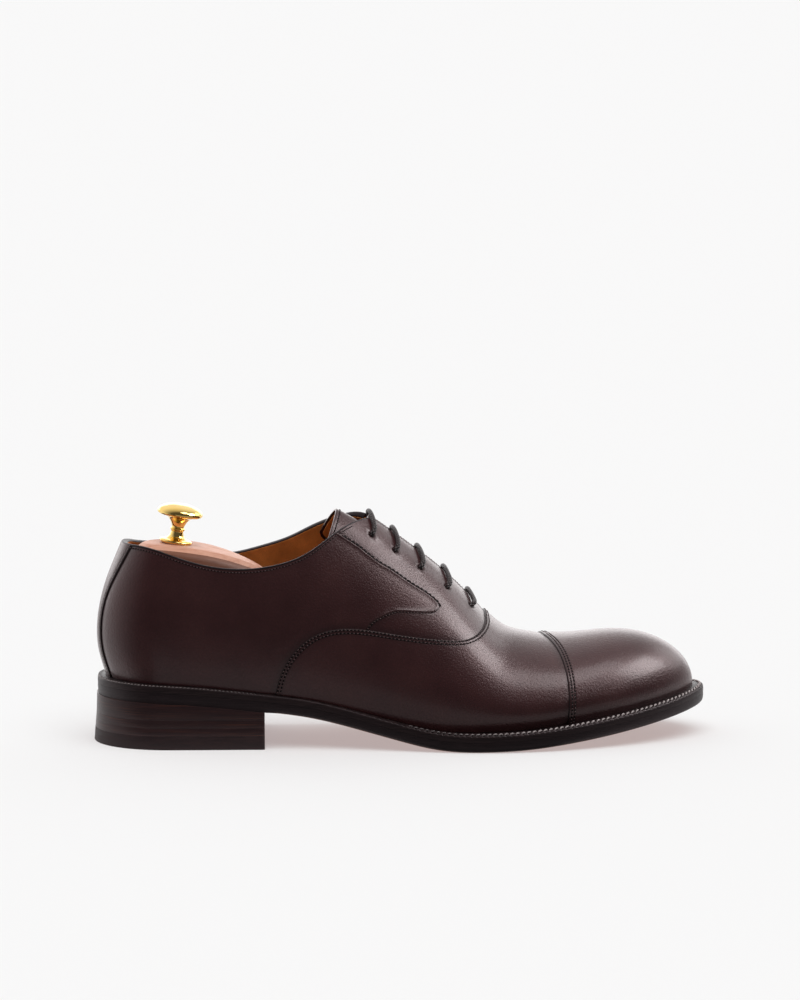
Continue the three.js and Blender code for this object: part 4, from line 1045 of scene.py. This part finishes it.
def make_quarters(skin):
    """The quarters lie under the vamp and the back stay. Each has a facing with five eyelet holes."""
    both = skin.copy().cut("vamp", UNDERLAP, -1).cut("top", TOPLINE_DROP, 1)
    for name, mark in SIDES.items():
        q = both.copy().cut("side", 0, mark).cut("stay", -UNDERLAP, 1).cut("gap", 0, 1)
        q.cut("hole", HOLE_RADIUS, 1).rings("vamp", UNDERLAP_RINGS)
        q.rings("gap", (0.06, 0.2, 0.5, 1.0, 1.4, 1.9)).rings("hole", (1.3, 1.7, 2.3))
        q.rings("outside_line", (-1.0, -0.5, -0.2, 0, 0.2, 0.5, 0.85, 1.3)).rings("stay", (0, 0.8))
        v, gap, stay, hole, line, lip = (q.values[k] for k in ("vamp", "gap", "stay", "hole", "line",
                                                               "outside_line"))
        q.values["seam"] = np.min([np.maximum(-v, 0) + 0.6, gap + 0.5, np.maximum(stay, 0) + 0.6,
                                   line + 0.8, np.maximum(hole - 1, 0) + 0.5], axis=0)
        top = (overlapped(-v) + overlapped(stay, 3) + roll(gap, 0.9, 0.8) + groove(gap, 1.5, 0.35, 0.15)
               + groove(line, 0, 0.42, 0.14) + swell(lip, 0.95, 0.4, 0.3)
               + groove(hole, 1.0, 0.8, 0.5) + swell(hole, 2.6, 0.8, 0.22))
        upper_piece(f"quarter_{name}", q, top)


def make_back_stay(skin):
    """The strip over the seam of the two quarters, up the middle of the heel."""
    stay = skin.copy().cut("top", TOPLINE_DROP, 1).cut("stay", 0, -1)
    f = -stay.rings("stay", (-0.06, -0.25, -0.6, -1.1, -1.5, -1.9)).values["stay"]
    stay.values["seam"] = f
    upper_piece("back_stay", stay, 0.3 + roll(f, 0.6, 0.85) + groove(f, STAY_ROW, 0.32, 0.12))


LINING_OPEN_X = -10
LINING_SLOPE = 0.85


def make_lining(skin):
    """The lining of the quarters and the vamp. It gives the skin `inner_top`, its depth below the topline."""
    u, w = skin.values["u"], skin.values["w"]
    p = on_last(u, w, -LINING_TOP)
    below = (topline_over(w, p) - p[:, 2]) * LINING_SLOPE
    skin.values["inner_top"] = np.where(p[:, 0] > LINING_OPEN_X, FAR_OFF, below)
    inside = skin.copy().cut("top", TOPLINE_DROP, 1).cut("inner_top", 0.8, 1).cut("gap", 2.2, 1)
    inside.values["seam"] = inside.values["top"]
    obj = skin_object("quarter_lining", inside, -LINING_TOP, -LINING_BOTTOM)
    piece(obj, SHOE, "lining",
          ["quarter_lining_lateral", "quarter_lining_medial", "vamp_lining"])


def make_eyelet_stays(skin):
    """The strips that stiffen the two rows of eyelets, between the leather and the lining."""
    clear = 0.05
    skin.values["reach"] = EYELET_STAY["width"] - np.abs(skin.values["side"])
    strip = skin.copy().cut("reach", 0, 1).cut("vamp", 1.8, -1).cut("inner_top", 3.2, 1).cut("gap", 2.6, 1)
    strip.cut("u", EYELET_STAY["from_x"], 1).cut("hole", 1.6, 1)
    for name, mark in SIDES.items():
        half = strip.copy().cut("side", 0, mark)
        obj = skin_object(f"eyelet_stay_{name}_strip", half, -UPPER_THICKNESS - clear, -LINING_TOP + clear)
        piece(obj, SHOE, "board", [f"eyelet_stay_{name}"])


def make_binding():
    """The folded edge along the topline, from the lateral facing round the heel to the medial facing."""
    drop, end_x, depth = 0.95, -16.0, 1.45
    path = np.concatenate([topline_path(-1, drop, end_x)[::-1], topline_path(1, drop, end_x)[1:]])
    normal = last_normal(*path.T)
    line = resample(np.concatenate([last_point(*path.T) - normal * depth, normal], 1), 1.2)
    section = circle(1.0, 14) * [0.95, 1.0]
    section = np.sign(section) * np.abs(section)**0.8 * [0.75, 1.6]
    obj = sweep("topline_binding_edge", line[:, :3], line[:, 3:], section)
    piece(obj, SHOE, "edge", ["topline_binding"])


TONGUE_PEAK = (-31.3, 114.3)
TONGUE_CUT = 0.42
TONGUE_SKEW = {-1: 0.05, 1: 0.2}
TONGUE_BACK_X = -46
TONGUE_FRONT_X = 40
TONGUE_NARROWS_X = -26
TONGUE_HALF = 21.0
TONGUE_DEPTH = 6.2
TONGUE_CROWN = 0.7
TONGUE_ROW = 1.9


def tongue_half(u):
    """Half the tongue's width over the ridge, which closes in towards its top edge."""
    return TONGUE_HALF * closing((TONGUE_NARROWS_X - u) / 20, 3, 2.4) + 3


def tongue_crown(t):
    """How far the middle of the tongue stands up; t runs from -1 to 1 across it."""
    return TONGUE_CROWN * (1 - smoothstep(np.abs(t), 0.02, 0.45))


def tongue_edge(p):
    """How far a point lies inside the tongue's top edge, which falls away to both sides of its peak."""
    peak_x, peak_z = TONGUE_PEAK
    across = p[:, 1] - ridge_y(p[:, 0])
    skew = np.where(across < 0, TONGUE_SKEW[-1], TONGUE_SKEW[1])
    line = peak_x - TONGUE_CUT * (peak_z - p[:, 2]) - skew * across
    return (p[:, 0] - line) * 0.9


def make_tongue():
    us = np.linspace(TONGUE_BACK_X, TONGUE_FRONT_X, 78)
    ts = np.linspace(-1, 1, 49)
    u, t = np.repeat(us, len(ts)), np.tile(ts, len(us))
    half = np.repeat(tongue_half(us), len(ts))
    w = t * half / ridge_scale(u)
    edge = np.minimum((1 - np.abs(t)) * half, tongue_edge(on_last(u, w, -TONGUE_DEPTH)))
    skin = Skin({"u": u, "w": w, "edge": edge, "t": t}, grid_quads(len(us), len(ts)))
    skin.cut("edge", 0, 1).rings("edge", EDGE_RINGS + (1.5, TONGUE_ROW, 2.3))
    edge = skin.values["edge"]
    skin.values["seam"] = edge + 0.8
    base = tongue_crown(skin.values["t"]) - TONGUE_DEPTH
    top = base + roll(edge, 0.6, 0.6) + groove(edge, TONGUE_ROW, 0.3, 0.12)
    outer = skin_object("tongue_leather", skin, top, base - 1.2)
    piece(outer, SHOE, "upper", ["tongue"])
    base = tongue_crown(skin.cut("edge", 1.4, 1).values["t"]) - TONGUE_DEPTH
    inner = skin_object("tongue_lining_leather", skin, base - 1.25, base - 2.1)
    piece(inner, SHOE, "lining", ["tongue_lining"])


def tongue_row():
    """The stitch row inside the tongue's top edge."""
    u = np.linspace(TONGUE_BACK_X, 0, 400)
    ts = np.linspace(-0.75, 0.75, 121)
    row = []
    for t in ts:
        w = t * tongue_half(u) / ridge_scale(u)
        k = int(np.argmax(tongue_edge(on_last(u, w, -TONGUE_DEPTH)) > TONGUE_ROW))
        row.append([u[k], w[k]])
    return row_on_last(np.array(row), 0.12 - TONGUE_DEPTH + tongue_crown(ts))


def make_stitching():
    """The rows on the seams: double on the cap and vamp, single on most edges, wide on the facings."""
    double, single, facing = [], [], []
    for path, places in ((seam_path(CAP_SEAM, skew=CAP_SKEW), CAP_ROWS), (seam_path(VAMP_SEAM), VAMP_ROWS)):
        double += [row_on_last(slide_path(path, -place), 0.24) for place in places]
    for side in (-1, 1):
        line = seam_path(FACING_LINE, (side,))
        p = last_point(*line.T)
        line = line[p[:, 2] < topline_height[side](p[:, 0]) - 2.6]
        tip = int(np.argmax(line[:, 0])) + 1
        facing.append(row_on_last(line[:tip], 0.0))
        x = np.linspace(-12.5, 36, 80)
        beside_gap = np.stack([x, side * (throat_gap(x) / 2 + 1.5) / ridge_scale(x)], -1)
        single += [row_on_last(line[tip:], -0.05), row_on_last(topline_path(side, 2.3, -24), 0.02),
                   row_on_last(stay_path(side, STAY_ROW), 0.2), row_on_last(beside_gap, -0.12)]
    single.append(tongue_row())
    # For every kind: its rows, the distance between stitches, and half the length and width of a hole.
    kinds = {"double": (double, 1.85, 0.62, 0.5), "single": (single, 1.6, 0.42, 0.34),
             "facing": (facing, 2.35, 1.15, 0.85)}
    for name, (rows, pitch, long, wide) in kinds.items():
        piece(stitches(f"{name}_stitches", rows, pitch, 0.28, 0.5), SHOE, "thread")
        piece(needle_holes(f"{name}_needle_holes", rows, pitch, long, wide), SHOE, "hole")


# ---------------------------------------------------------------- lace
LACE_RADIUS = 1.2
LACE_IN = -5.5
LACE_OUT = 1.35
lace_sway = natural_spline([(-1, 0), (-0.8, 0.9), (-0.4, 0), (0, -1.2), (0.4, -1.5), (0.8, -0.8), (1, 0)])


def lace_path():
    """The same route as the CAD lace: down inside, then a bar and a short hop inside for every row."""
    route = []
    bar_profile = [(1, LACE_IN + 1.4), (1, -1.0), (0.97, 0.4), (0.86, LACE_OUT), (0.45, LACE_OUT)]

    def at(x, w, height):
        route.append(on_last(x, w, height))

    def inside(xs, side, offset):
        for x in xs:
            at(x, w_at_height(x, eyelet_height(x), side) * offset, LACE_IN)

    def bar(x, w, height):
        at(x + lace_sway(w / w_at_height(x, eyelet_height(x), 1)), w, height)

    rows_x = [x for x, _ in EYELETS]
    top, bottom = rows_x[0], rows_x[-1]
    inside([-6, 2, 10, 18, 26, 33], -1, 1.4)
    inside([bottom + 3.4], -1, 1.22)
    for i, x in enumerate(reversed(rows_x)):
        side = 1 if i % 2 else -1
        w = w_at_height(x, eyelet_height(x), side)
        for share, height in bar_profile:
            bar(x, w * share, height)
        bar(x, 0, LACE_OUT)
        for share, height in reversed(bar_profile):
            bar(x, -w * share, height)
        if x == top:
            break
        following = rows_x[len(rows_x) - 2 - i]
        inside([x + (following - x) * s for s in (0.25, 0.5, 0.75)], -side, 1)
    inside([top - 3], side, 1.2)
    inside([top + 1, top + 8, top + 16, top + 24, top + 32], side, 1.4)
    return np.array(route)


def make_lace():
    points = resample(catmull(lace_path(), 10), 0.7)
    obj = sweep("lace_cord", points, transported_up(points, (0, 0, 1)), circle(LACE_RADIUS, 14))
    piece(obj, SHOE, "lace", ["lace"])


# ---------------------------------------------------------------- sole unit
def sole_half(x, extra):
    inset = 1 - INSET_SHARE
    width = np.where(x < TOE_AXIS_X, half_width(np.maximum(x, HEEL_AXIS_X)), BALL_HALF_WIDTH) * inset
    margin = sole_margin(x) + extra
    toe = closing((x - TOE_AXIS_X) / toe_reach(extra), *TOE_PLAN)
    heel = closing((HEEL_AXIS_X - x) / heel_reach(extra), HEEL_PLAN_POWER, HEEL_PLAN_POWER)
    return (width + margin) * np.where(x > TOE_AXIS_X, toe, np.where(x < HEEL_AXIS_X, heel, 1))


def toe_reach(extra):
    return TOE_END_X - TOE_AXIS_X + float(sole_margin(FAR_END_X)) + extra


def heel_reach(extra):
    return HEEL_AXIS_X - HEEL_END_X + float(sole_margin(-FAR_END_X)) + extra


def outline_at(q, extra):
    """[x, y] on the sole outline. q is 0 at the heel back, 3 at the toe and 6 at the heel back again."""
    q = np.asarray(q, float) % 6
    side = np.where(q <= 3, -1, 1)
    p = np.where(q <= 3, q, 6 - q)
    heel = HEEL_AXIS_X - heel_reach(extra) * np.cos(np.clip(p, 0, 1) * np.pi / 2)
    middle = HEEL_AXIS_X + (TOE_AXIS_X - HEEL_AXIS_X) * np.clip(p - 1, 0, 1)
    toe = TOE_AXIS_X + toe_reach(extra) * np.sin(np.clip(p - 2, 0, 1) * np.pi / 2)
    x = np.where(p < 1, heel, np.where(p < 2, middle, toe))
    return np.stack([x, centre_y(x) + side * sole_half(x, extra)], -1)


def even_q(step, low=0.0, high=6.0):
    """Outline places a constant length apart."""
    q = np.linspace(low, high, 4001)
    length = lengths_along(outline_at(q, 0))
    at = np.linspace(0, length[-1], int(round(length[-1] / step)) + 1)
    return np.interp(at, length, q)


def rail(q, profile, base):
    """Points for every outline place and every [extra, height over base(x)] of a profile."""
    ground = base(outline_at(q, 0)[:, 0])
    return np.stack([np.column_stack([outline_at(q, extra), ground + up]) for extra, up in profile], 1)


def strip_faces(n, m, closed):
    """Faces between n neighbouring profiles of m points each."""
    faces = []
    for i in range(n if closed else n - 1):
        a, b = i * m, ((i + 1) % n) * m
        faces += [[a + k, b + k, b + k + 1, a + k + 1] for k in range(m - 1)]
    return faces


WELT_JOINT_X = -62.0
WELT_PITCH = 2.8
RAND_PITCH = 2.0
WHEELED = (-45, 25)
WHEEL_DEPTH = {5: 0.3, 6: 0.42, 7: 0.42, 8: 0.3, 9: 0.12}
WELT_ROW = {"back_x": 2.0, "inset": -1.9, "lift": 0.12}
RAND_ROW = {"back_x": -72.0, "inset": -0.55, "lift": -0.2}


def q_of_x(x, side):
    q = np.linspace(0, 3, 3001)
    found = float(np.interp(x, outline_at(q, 0)[:, 0], q))
    return found if side < 0 else 6 - found


def make_welt(name, low, high, replaces, wheeled):
    """The welt or rand: a rounded strip with a wheeled pattern pressed into its upper edge."""
    is_welt = wheeled == WELT_PITCH
    step = WELT_PITCH / 8
    q = even_q(step, low, high)
    t = WELT_THICKNESS
    bottom = OUTSOLE_THICKNESS + JOINT
    profile = [(-12, 0), (-12, t), (-5, t + 0.05), (-3.4, t + 0.1), (-2.7, t + 0.02), (-2.0, t - 0.12),
               (-1.35, t), (-0.75, t - 0.05), (-0.32, t - 0.3), (-0.1, t - 0.75), (0.02, t - 1.5),
               (0.05, t - 2.5), (0.02, 0)]
    points = rail(q, profile, lambda x: sole_bottom(x) + bottom)
    wave = np.arange(len(q)) * step / wheeled * 2 * np.pi
    ahead = smoothstep(points[:, 0, 0], *WHEELED) if is_welt else 0.5
    notch = (0.5 - 0.5 * np.cos(wave))**3 * ahead
    for k, depth in WHEEL_DEPTH.items():
        points[:, k, 2] -= notch * depth * (1.0 if is_welt else 0.7)
    n, m = points.shape[:2]
    faces = strip_faces(n, m, False)
    faces += [[i * m + m - 1, (i + 1) * m + m - 1, (i + 1) * m, i * m] for i in range(n - 1)]
    faces += [list(range(m)), [(n - 1) * m + k for k in range(m)][::-1]]
    obj = smooth(mesh_object(name, points.reshape(-1, 3), faces, 60), 60)
    piece(obj, SHOE, "welt", replaces)


def sole_row(name, low, high, row, *bead):
    """A stitch row on the upper edge of the welt or the rand."""
    q = even_q(0.5, low, high)
    z = sole_bottom(outline_at(q, 0)[:, 0]) + OUTSOLE_THICKNESS + JOINT + WELT_THICKNESS + row["lift"]
    points = np.column_stack([outline_at(q, row["inset"]), z])
    obj = stitches(name, [(points, np.tile([0.0, 0.0, 1.0], (len(q), 1)))], *bead)
    piece(obj, SHOE, "welt_thread")


def make_welt_stitches():
    """The row round the forepart, from the waist on one side to the waist on the other."""
    low, high = q_of_x(WELT_ROW["back_x"], -1), q_of_x(WELT_ROW["back_x"], 1)
    sole_row("welt_stitches", low, high, WELT_ROW, WELT_PITCH, 0.52, 1.0, 0.5, 8)


def make_rand_stitches():
    """A fine row on the upper edge of the rand, round the heel."""
    low, high = q_of_x(RAND_ROW["back_x"], 1), q_of_x(RAND_ROW["back_x"], -1) + 6
    sole_row("rand_stitches", low, high, RAND_ROW, 1.9, 0.26, 0.7, 0.3)


HEEL_BREAST_X = -68.0
BREAST_CORNER = 1.2
TOP_PIECE = 6.4
LIFT = 3.6
LAYER_TOP_GAP = 0.27
HEEL_FLARE = 1.9
FLARE_HEIGHT = 24


def make_outsole():
    q = even_q(1.6)[:-1]
    t = OUTSOLE_THICKNESS
    top = t + JOINT - 0.04
    side = [(-9, top), (-0.4, top), (-0.02, top - 0.05), (0.02, t - 0.7), (0.05, t - 1.8), (-0.05, t - 3),
            (-0.35, 1.0), (-0.9, 0.42), (-1.7, 0.1), (-2.8, 0)]
    seat = side[:1] + [(max(extra, -0.1), height) for extra, height in side[1:]]
    points = rail(q, side, sole_bottom)
    at_seat = (1 - smoothstep(points[:, 0, 0], HEEL_BREAST_X - 1, HEEL_BREAST_X + 9))[:, None, None]
    points = points * (1 - at_seat) + rail(q, seat, sole_bottom) * at_seat
    n, m = points.shape[:2]
    faces = strip_faces(n, m, True)
    for k, flip in ((0, False), (m - 1, True)):
        for i in range(n // 2):
            across = (i, i + 1, (n - i - 1) % n, (n - i) % n)
            ring = list(dict.fromkeys(j * m + k for j in across))
            if len(ring) > 2:
                faces.append(ring if flip else ring[::-1])
    obj = smooth(mesh_object("outsole_leather", points.reshape(-1, 3), faces, 40), 40)
    piece(obj, SHOE, "edge", ["outsole"])
    obj.data.materials.append(MATERIALS["sole"])
    for polygon in obj.data.polygons:
        if polygon.normal.z < -0.85:
            polygon.material_index = 1


def ring_at(outline, height_of):
    """An [x, y] outline at the height that height_of gives for its x."""
    return np.column_stack([outline, np.broadcast_to(height_of(outline[:, 0]), len(outline))])


def stacked(name, rings, angle):
    """A closed mesh through rings of equally many points."""
    return mesh_object(name, np.concatenate(rings), tube_faces(len(rings), len(rings[0])), angle)


def heel_outline(extra):
    """Closed plan outline of the heel, with its two breast corners rounded."""
    start = q_of_x(HEEL_BREAST_X - BREAST_CORNER, -1)
    edge = outline_at(even_q(1.5, -start, start), extra)
    (x0, y0), (x1, y1) = edge[0], edge[-1]
    middle = 0.5 * (y0 + y1)
    turns = np.linspace(0, np.pi / 2, 6)[1:]

    def corner(x, y, angles):
        inwards = np.sign(middle - y) * BREAST_CORNER
        return [(x + BREAST_CORNER * math.sin(a), y + inwards * (1 - math.cos(a))) for a in angles]

    breast = [(HEEL_BREAST_X - 0.6 * math.sin(math.pi * s), y1 + (y0 - y1) * (0.04 + 0.92 * s))
              for s in np.linspace(0.02, 0.98, 15)]
    return np.array([*edge, *corner(x1, y1, turns), *breast, *corner(x0, y0, turns[::-1])])


def heel_layer(name, node, low, high, top_of, material, bevel, proud=0.0):
    """One layer of the heel, with softly rounded upper and lower rims."""
    rims = [(0, -bevel), (0.3 * bevel, -0.3 * bevel), (bevel, 0)]

    def ring(height_of, inset, at):
        return ring_at(heel_outline(HEEL_FLARE * (1 - at / FLARE_HEIGHT) + inset + proud), height_of)

    rings = [ring(lambda x, up=up: low + up, inset, low) for up, inset in rims]
    rings += [ring(lambda x, up=up: top_of(x) - up, inset, high) for up, inset in reversed(rims)]
    piece(smooth(stacked(name, rings, 55), 55), SHOE, material, [node])


def make_heel():
    heel_layer("top_piece_rubber", "top_piece", 0, TOP_PIECE, lambda x: TOP_PIECE + LAYER_TOP_GAP,
               "rubber", 0.06, 0.04)
    low = TOP_PIECE + JOINT
    for i in (1, 2, 3):
        high = low + LIFT

        def top(x, high=high, last=(i == 3)):
            return sole_bottom(x) - 0.03 if last else high + LAYER_TOP_GAP

        heel_layer(f"heel_lift_{i}_leather", f"heel_lift_{i}", low, high, top, "stack", 0.04)
        low = high + JOINT


# ---------------------------------------------------------------- shoe tree
TREE_CENTRE_X = -106
TREE_CROWN = [(-130, 98.4), (-118, 98.5), (-105, 97.3), (-90, 94.3), (-74, 88.4), (-66, 84.6)]
TREE_SIDE_DEPTH = 1.9
# Rings of the heel block: height, or depth below the crown, then back, front and half width.
TREE_RINGS = [(42, -134, -76, 20), (42.6, -135.4, -74, 21.4), (46, -138, -72, 23), (60, -140, -68, 25.5),
              (74, -139, -66, 23.5)]
TREE_TOP_RINGS = [(5.2, -133.2, -64.8, 20.3), (3.7, -132.4, -65.0, 19.6), (3.0, -131.6, -65.5, 19.0),
                  (2.1, -130.3, -66.3, 17.4), (0.35, -127.9, -68.0, 14.4), (0.08, -127.2, -68.5, 13.7),
                  (0.0, -126.2, -69.2, 12.8)]


def tree_outline(back, front, half):
    a = np.linspace(0, 2 * np.pi, 72, endpoint=False)
    cos = np.cos(a)
    reach = np.where(cos > 0, front - TREE_CENTRE_X, TREE_CENTRE_X - back)
    taper = np.where(cos > 0, 1 - 0.22 * cos**2, 1)
    return np.stack([TREE_CENTRE_X + reach * cos, half * np.sin(a) * taper], -1)


STEM_START = Vector((-98, 0, 63.5))
STEM_END = Vector((24, 0, 33))
STEM_BORE = {"radius": 4.9, "length": 84.3}


def bore(obj, start, end, size):
    """Drills a hole into a piece, from `start` towards `end`."""
    axis = (end - start).normalized()
    radius, length = size["radius"] * MM, size["length"] * MM
    bm = bmesh.new()
    bmesh.ops.create_cone(bm, cap_ends=True, segments=48, radius1=radius, radius2=radius, depth=length)
    mesh = bpy.data.meshes.new("drill")
    bm.to_mesh(mesh)
    bm.free()
    drill = link_object("drill", mesh)
    drill.rotation_euler = axis.to_track_quat("Z", "Y").to_euler()
    drill.location = (start + axis * size["length"] / 2) * MM
    cut = obj.modifiers.new("bore", "BOOLEAN")
    cut.operation = "DIFFERENCE"
    cut.solver = "EXACT"
    cut.object = drill
    bpy.context.view_layer.update()
    drilled = bpy.data.meshes.new_from_object(obj.evaluated_get(bpy.context.evaluated_depsgraph_get()))
    obj.modifiers.clear()
    obj.data = drilled
    bpy.data.objects.remove(drill)


def make_tree_block():
    """The cedar heel block: its sides and its rounded top edge get a darker copy of the cedar as painted
    shade.
    """
    crown = natural_spline(TREE_CROWN)
    inner = [(0.0, TREE_CENTRE_X - 20.2 * s, TREE_CENTRE_X + 36.8 * s, 12.8 * s)
             for s in (0.85, 0.65, 0.4, 0.15)]
    rings = [ring_at(tree_outline(*shape), lambda x, z=z: z) for z, *shape in TREE_RINGS]
    rings += [ring_at(tree_outline(*shape), lambda x, drop=drop: crown(x) - drop)
              for drop, *shape in TREE_TOP_RINGS + inner]
    obj = stacked("tree_heel_cedar", rings, 28)
    bore(obj, STEM_START, STEM_END, STEM_BORE)
    smooth(obj, 28)
    piece(obj, "tree_heel", "cedar", ["tree_heel_block"])
    obj.data.materials.append(MATERIALS["cedar_side"])
    for polygon in obj.data.polygons:
        x, _, z = polygon.center / MM
        if z < crown(x) - TREE_SIDE_DEPTH:
            polygon.material_index = 1


KNOB_BASE = (-111.1, 0.0, 98.6)
KNOB_LEAN = math.radians(9)
KNOB_PROFILE = [(0, -0.6), (7.5, -0.6), (8.0, -0.2), (8.15, 0.3), (7.9, 0.85), (7.1, 1.2), (5.6, 1.5),
                (4.4, 2.1), (3.6, 3.1), (3.2, 4.4), (3.05, 5.4), (3.3, 5.8), (3.7, 6.2), (3.7, 6.6),
                (3.3, 7.0), (3.05, 7.4), (3.3, 8.4), (3.9, 9.7), (4.9, 11.1), (6.5, 12.3), (8.6, 13.0),
                (10.2, 13.3), (11.0, 13.8), (11.35, 14.5), (11.2, 15.3), (10.4, 16.4), (8.9, 17.4),
                (6.9, 18.2), (4.2, 18.9), (0, 19.2)]


def make_knob():
    """A turned knob that leans towards the toe."""
    profile = resample(catmull(KNOB_PROFILE, 4), 0.45)
    profile[0, 0] = profile[-1, 0] = 0
    count = 64
    a = np.linspace(0, 2 * np.pi, count, endpoint=False)
    x = profile[:, :1] * np.cos(a)
    y = profile[:, :1] * np.sin(a)
    z = np.repeat(profile[:, 1:], count, 1)
    lean_x = x * math.cos(KNOB_LEAN) + z * math.sin(KNOB_LEAN)
    lean_z = -x * math.sin(KNOB_LEAN) + z * math.cos(KNOB_LEAN)
    points = np.stack([lean_x, y, lean_z], -1).reshape(-1, 3) + KNOB_BASE
    obj = mesh_object("tree_knob_brass", points, tube_faces(len(profile), count, capped=False), 60)
    piece(smooth(obj, 60), "tree_heel", "brass", ["tree_knob"])


# ---------------------------------------------------------------- what stays from the CAD model
CAD_FINISH = {
    "sock": ["sock_liner"],
    "board": ["heel_pad", "insole_board", "insole_rib", "heel_filler", "toe_puff", "heel_counter"],
    "cork": ["cork_filler"],
    "steel": ["shank", "aglet_lateral", "aglet_medial", "tree_spring", "tree_rod", "tree_guide_pin_1",
              "tree_guide_pin_2", *(f"heel_nail_{i}" for i in range(1, 7))],
    "brass": ["tree_stem"],
    "cedar": ["tree_toe_medial", "tree_toe_lateral"],
}


def finish_cad_nodes():
    for material, nodes in CAD_FINISH.items():
        for node in nodes:
            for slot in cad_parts[node].material_slots:
                slot.material = MATERIALS[material]


# ---------------------------------------------------------------- stage, light and camera
FLOOR_REACH = 450.0
FLOOR_FRONT_Y = -3.0
FLOOR_SPLIT_Y = -0.05


def floor_part(name, near_y, far_y):
    mesh = bpy.data.meshes.new(name)
    corners = [(-FLOOR_REACH, near_y), (FLOOR_REACH, near_y), (FLOOR_REACH, far_y), (-FLOOR_REACH, far_y)]
    mesh.from_pydata([(x, y, 0.0) for x, y in corners], [], [[0, 1, 2, 3]])
    return link_object(name, mesh)


def make_stage():
    """A pale floor up to the horizon. The part in front of the shoe throws no light back on it."""
    # The floor glows faintly pink over a faintly cyan base: lit, it looks an even white, and its shadows get
    # a painted warm tint.
    m = Material("floor", Roughness=1.0, Specular_IOR_Level=0.0, Base_Color=(0.45, 0.494, 0.494, 1),
                 Emission_Color=(1.0, 0.87, 0.87, 1), Emission_Strength=0.42)
    front = floor_part("floor_front", FLOOR_FRONT_Y, FLOOR_SPLIT_Y)
    back = floor_part("floor_back", FLOOR_SPLIT_Y, FLOOR_REACH)
    for obj in (front, back):
        obj.data.materials.append(m.material)
    front.visible_glossy = False
    front.visible_diffuse = False


def light_object(light, place, direction):
    obj = link_object(light.name, light)
    obj.location = place
    obj.rotation_euler = Vector(direction).to_track_quat("-Z", "Y").to_euler()
    return obj


def seen_from(azimuth, elevation):
    """A direction out from the shoe. Azimuth 0 is towards -Y, 90 towards the toe."""
    a, e = math.radians(azimuth), math.radians(elevation)
    return Vector((math.sin(a) * math.cos(e), -math.cos(a) * math.cos(e), math.sin(e)))


def softbox(name, azimuth, elevation, distance, size, radiance):
    """A panel seen only in reflections."""
    place = seen_from(azimuth, elevation) * distance
    light = bpy.data.lights.new(name, "AREA")
    light.shape = "RECTANGLE"
    light.size, light.size_y = size
    light.energy = radiance * math.pi * size[0] * size[1]
    obj = light_object(light, place, -place)
    obj.visible_diffuse = False
    return obj


def make_world():
    """A white studio: bright behind and beside the shoe, dark in front of it."""
    world = bpy.data.worlds.new("studio")
    world.use_nodes = True
    tree = world.node_tree
    nodes, links = tree.nodes, tree.links
    split = nodes.new("ShaderNodeSeparateXYZ")
    links.new(nodes.new("ShaderNodeTexCoord").outputs["Generated"], split.inputs[0])
    leaned = nodes.new("ShaderNodeMath")
    leaned.operation = "MULTIPLY_ADD"
    leaned.inputs[1].default_value = -0.35
    links.new(split.outputs["X"], leaned.inputs[0])
    links.new(split.outputs["Y"], leaned.inputs[2])
    level = nodes.new("ShaderNodeMapRange")
    for key, value in (("From Min", -0.45), ("From Max", 0.65), ("To Min", 0.08), ("To Max", 1.0)):
        level.inputs[key].default_value = value
    links.new(leaned.outputs[0], level.inputs["Value"])
    background = nodes["Background"]
    background.inputs["Color"].default_value = (1, 1, 1, 1)
    links.new(level.outputs[0], background.inputs["Strength"])
    bpy.context.scene.world = world
    bpy.context.scene.view_settings.view_transform = "Standard"


def make_light():
    make_world()
    sun = bpy.data.lights.new("top_light", "SUN")
    sun.energy = 2.25
    sun.angle = math.radians(60)
    top = light_object(sun, (0, 0, 3), (-0.1, 0.3, -1))
    top.visible_glossy = False
    softbox("key_softbox", 79, 41, 1.5, (0.8, 0.68), 9.2)
    softbox("side_softbox", 116, 30, 1.6, (1.0, 0.7), 1.6)
    softbox("overhead_softbox", 52, 66, 1.5, (0.62, 0.55), 4.4)
    softbox("back_softbox", 184, 15, 3.0, (5.4, 1.4), 1.25)
    softbox("front_card", 22, -28, 1.5, (3.3, 0.85), 0.42)


def make_camera():
    azimuth, elevation, distance = -3, 9, 2.0
    target = Vector((0.0, 0.0, 0.057))
    camera = bpy.data.cameras.new("camera")
    camera.sensor_width = 36
    camera.lens = 144
    camera.shift_x = 0.001
    camera.shift_y = 0.1224
    camera.clip_end = 1000
    obj = link_object("camera", camera)
    obj.location = target + distance * seen_from(azimuth, elevation)
    obj.rotation_euler = (math.radians(90 - elevation), 0, math.radians(azimuth))
    bpy.context.scene.camera = obj


make_camera()
make_stage()
make_light()
upper_skin = whole_skin(GRID_STEP)
make_toe_cap(upper_skin)
make_vamp(upper_skin)
make_quarters(upper_skin)
make_back_stay(upper_skin)
make_lining(upper_skin)
make_eyelet_stays(upper_skin)
make_binding()
make_tongue()
make_stitching()
make_lace()
make_welt("welt_strip", q_of_x(WELT_JOINT_X, -1), q_of_x(WELT_JOINT_X, 1), ["welt"], WELT_PITCH)
make_welt("heel_rand_strip", q_of_x(WELT_JOINT_X, 1), q_of_x(WELT_JOINT_X, -1) + 6, ["heel_rand"], RAND_PITCH)
make_welt_stitches()
make_rand_stitches()
make_outsole()
make_heel()
make_tree_block()
make_knob()
finish_cad_nodes()
